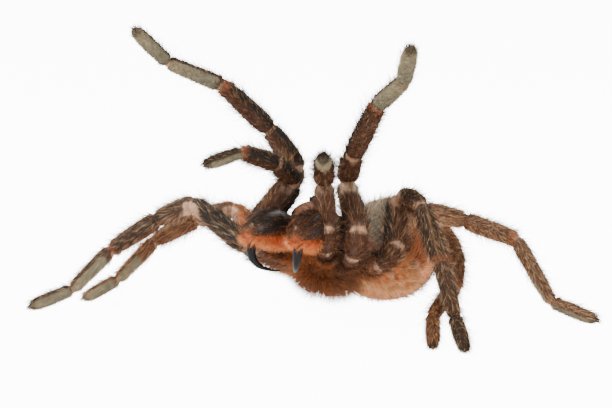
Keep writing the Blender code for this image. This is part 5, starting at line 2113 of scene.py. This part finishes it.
@dataclass
class Pedicel:
    """The thin waist between prosoma and abdomen."""

    start: tuple[float, float, float] = (-6.5, 0.0, 0.75)
    end_height: float = 9.3
    radius: float = 1.0
    inside: float = 4.0
    lift: float = 0.2

    def dress(self, finishes: Finishes, abdomen: Abdomen) -> None:
        """Build the waist.

        Args:
            finishes: the materials.
            abdomen: the abdomen that it runs into.
        """
        start = on_body(*self.start)
        back = abdomen.middle[1] - abdomen.half[1] + self.inside
        end = Vector((abdomen.middle[0] * 0.4, back, self.end_height))
        bend = start.lerp(end, 0.5) + Vector((0.0, 0.0, self.lift))
        waist = Spike(root=start, bend=bend, tip=end, radius=self.radius, thin=0.0, colour=PALETTE.rust)
        waist.set_skin("skin_pedicel", np.linspace(0.0, 1.0, 12), 20, finishes.skin, "abdomen")


def make_piece(
    name: str, bm: bmesh.types.BMesh, look: bpy.types.Material, slot: str, nodes: tuple[str, ...] = ()
) -> None:
    """Turn a finished bmesh into a smooth piece and set it out.

    Args:
        name: the piece's name.
        bm: its mesh, freed afterwards.
        look: its material.
        slot: the record's material slot.
        nodes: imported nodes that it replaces.
    """
    mesh = bpy.data.meshes.new(name)
    bm.to_mesh(mesh)
    bm.free()
    mesh.shade_smooth()
    mesh.materials.append(look)
    Shelf.set_out(bpy.data.objects.new(name, mesh), slot, nodes)


@dataclass
class Eyes:
    """The eye tubercle with its eight eyes."""

    forward: float = 10.4
    half: tuple[float, float, float] = (1.1, 1.55, 0.95)
    lift: float = 0.1
    sunk: float = 0.25
    places: tuple[tuple[float, float, float], ...] = (
        (0.35, 0.48, 0.34),
        (0.55, 1.1, 0.3),
        (-0.45, 0.62, 0.22),
        (-0.3, 1.15, 0.26),
    )

    def ball(
        self, bm: bmesh.types.BMesh, centre: Vector, half: tuple[float, float, float], sides: int
    ) -> None:
        """Add an ellipsoid lined up with the prosoma.

        Args:
            bm: the mesh to add to.
            centre: its middle in millimetres.
            half: half sizes forward, left and up.
            sides: segments round it.
        """
        spin = Matrix((FORWARD, LEFT, UP)).transposed().to_4x4()
        middle = Vector(Shelf.place(np.array([tuple(centre)]))[0])
        size = Matrix.Diagonal((half[0] * MM, half[1] * MM, half[2] * MM, 1.0))
        place = Matrix.Translation(middle) @ spin @ size
        bmesh.ops.create_uvsphere(bm, u_segments=sides, v_segments=sides // 2, radius=1.0, matrix=place)

    def dress(self, finishes: Finishes, shield: Carapace) -> None:
        """Build the mound and the eyes.

        Args:
            finishes: the materials.
            shield: the carapace that carries them.
        """
        along = np.array([shield.place_at(self.forward)])
        middle = Vector(shield.points(along, np.array([0.0]))[0]) + UP * self.lift
        mound, lenses = bmesh.new(), bmesh.new()
        self.ball(mound, middle, self.half, 32)
        for forward, left, radius in self.places:
            for side in Side:
                flat = 1.0 - (forward / self.half[0]) ** 2 - (left / self.half[1]) ** 2
                height = self.half[2] * math.sqrt(max(0.02, flat)) - radius * self.sunk
                centre = middle + FORWARD * forward + LEFT * left * side.value + UP * height
                self.ball(lenses, centre, (radius, radius, radius), 20)
        make_piece("eye_mound", mound, finishes.claw, "eye")
        make_piece("eye_lenses", lenses, finishes.eye, "eye", ("eyes",))


@dataclass
class Claws:
    """The paired claws of all feet, as one piece."""

    length: float = 2.0
    radius: float = 0.26
    apart: float = 0.4
    sunk: float = 0.6
    splay: float = 0.3
    arch: float = 0.5
    lift: float = 0.1
    droop: float = 0.2
    root_gap: float = 0.5
    tip_gap: float = 0.3

    def spikes(self, limb: Limb) -> list[Spike]:
        """The two claws at a limb's tip.

        Args:
            limb: the limb.

        Returns:
            Their forms.
        """
        place = np.array([limb.ends()[1]])
        tip = Vector(limb.middles(place)[0])
        along = Vector(limb.read(place, limb.tangents)[0]).normalized()
        back = Vector(limb.read(place, limb.dorsals)[0]).normalized()
        across = along.cross(back)
        spikes = []
        for side in Side:
            out = across * side.value
            root = tip + out * self.apart - along * self.sunk + back * self.lift
            end = root + along * self.length + out * self.splay - back * self.droop
            root.z, end.z = max(root.z, self.root_gap), max(end.z, self.tip_gap)
            bend = root.lerp(end, 0.6) + back * self.arch
            spikes.append(Spike(root=root, bend=bend, tip=end, radius=self.radius))
        return spikes

    def dress(self, finishes: Finishes, limbs: list[Limb]) -> None:
        """Build two claws at each limb's tip.

        Args:
            finishes: the materials.
            limbs: all limbs.
        """
        bm = bmesh.new()
        for limb in limbs:
            for spike in self.spikes(limb):
                piece = spike.build("claw", np.linspace(0.0, 1.0, 8), 10)
                mesh = piece.data
                bm.from_mesh(mesh)
                bpy.data.objects.remove(piece)
                bpy.data.meshes.remove(mesh)
        make_piece("claws", bm, finishes.claw, "fang")


@dataclass
class Studio:
    """Pale floor, soft lights and the photo's camera."""

    floor_half: float = 12.0
    key_power: float = 6.5
    fill_power: float = 1.8
    sky: float = 0.4
    wall: float = 12.0
    key_place: tuple[float, float, float] = (-0.28, -0.42, 0.5)
    fill_place: tuple[float, float, float] = (0.5, -0.25, 0.28)
    back_place: tuple[float, float, float] = (0.1, 0.5, 0.5)
    aim_height: float = 0.02

    def build(self, finishes: Finishes) -> None:
        """Set out the floor, the lights and the camera.

        Args:
            finishes: the materials.
        """
        bm = bmesh.new()
        bmesh.ops.create_grid(bm, x_segments=1, y_segments=1, size=self.floor_half)
        mesh = bpy.data.meshes.new("studio_floor")
        bm.to_mesh(mesh)
        bm.free()
        mesh.materials.append(finishes.floor)
        floor = bpy.data.objects.new("studio_floor", mesh)
        bpy.context.scene.collection.objects.link(floor)
        self.sky_light()
        self.light("key", self.key_place, 0.35, self.key_power)
        self.light("fill", self.fill_place, 0.4, self.fill_power)
        self.light("back", self.back_place, 0.4, self.fill_power)
        self.camera()

    def sky_light(self) -> None:
        """Light the spider evenly from all round, and show the lens a white wall."""
        world = bpy.data.worlds.new("studio")
        world.use_nodes = True
        kit = Sockets(world.node_tree)
        back = world.node_tree.nodes["Background"]
        back.inputs["Color"].default_value = (1.0, 1.0, 1.0, 1.0)
        seen = kit.node("ShaderNodeLightPath")
        bright = kit.node("ShaderNodeMapRange", {"To Min": self.sky, "To Max": self.wall})
        kit.link(seen.outputs["Is Camera Ray"], bright.inputs["Value"])
        kit.link(bright.outputs["Result"], back.inputs["Strength"])
        bpy.context.scene.world = world

    def light(self, name: str, place: tuple[float, float, float], size: float, power: float) -> None:
        """Add a square soft light that faces the spider.

        Args:
            name: the light's name.
            place: where it hangs, in metres.
            size: its side in metres.
            power: its power in watts.
        """
        lamp = bpy.data.lights.new(name, "AREA")
        lamp.size = size
        lamp.energy = power
        thing = bpy.data.objects.new(name, lamp)
        thing.location = place
        aim = Vector((0.0, 0.0, self.aim_height)) - Vector(place)
        thing.rotation_euler = aim.to_track_quat("-Z", "Y").to_euler()
        bpy.context.scene.collection.objects.link(thing)

    def camera(self) -> None:
        """Place the camera as in the photo."""
        toward = heading(CAMERA_TURN, CAMERA_RISE)
        spot = CAMERA_TARGET + toward * CAMERA_DISTANCE
        lens = bpy.data.cameras.new("camera")
        lens.sensor_width = SENSOR_WIDTH
        lens.lens = PIXELS_PER_MM * CAMERA_DISTANCE / IMAGE_WIDTH * SENSOR_WIDTH
        lens.clip_start = 0.01
        lens.clip_end = 20.0
        thing = bpy.data.objects.new("camera", lens)
        thing.location = Shelf.place(np.array([tuple(spot)]))[0]
        thing.rotation_euler = (-toward).to_track_quat("-Z", "Y").to_euler()
        bpy.context.scene.collection.objects.link(thing)
        bpy.context.scene.camera = thing


def main() -> None:
    """Build every piece in order."""
    logging.basicConfig(level=logging.INFO, format="%(message)s")
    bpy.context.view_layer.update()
    finishes = Finishes()
    jaws = [Chelicera(side=side) for side in Side]
    fangs = [Fang(jaw) for jaw in jaws]
    Shelf.find_origin(fangs[0].corners(), "fang_left")
    LOG.info("origin in millimetres: %s", np.round(Shelf.origin, 3))
    limbs = [Limb(kind, side) for kind in Kind for side in Side]
    for number, limb in enumerate(limbs):
        limb.dress(finishes, 101 + number)
    shield = Carapace()
    shield.dress(finishes)
    for jaw, fang in zip(jaws, fangs):
        jaw.dress(finishes)
        fang.dress(finishes)
    abdomen = Abdomen()
    abdomen.dress(finishes)
    Underside().dress(finishes)
    Pedicel().dress(finishes, abdomen)
    for side in Side:
        Spinneret(side).dress(finishes)
    Eyes().dress(finishes, shield)
    Claws().dress(finishes, limbs)
    Studio().build(finishes)


if __name__ == "__main__":
    main()
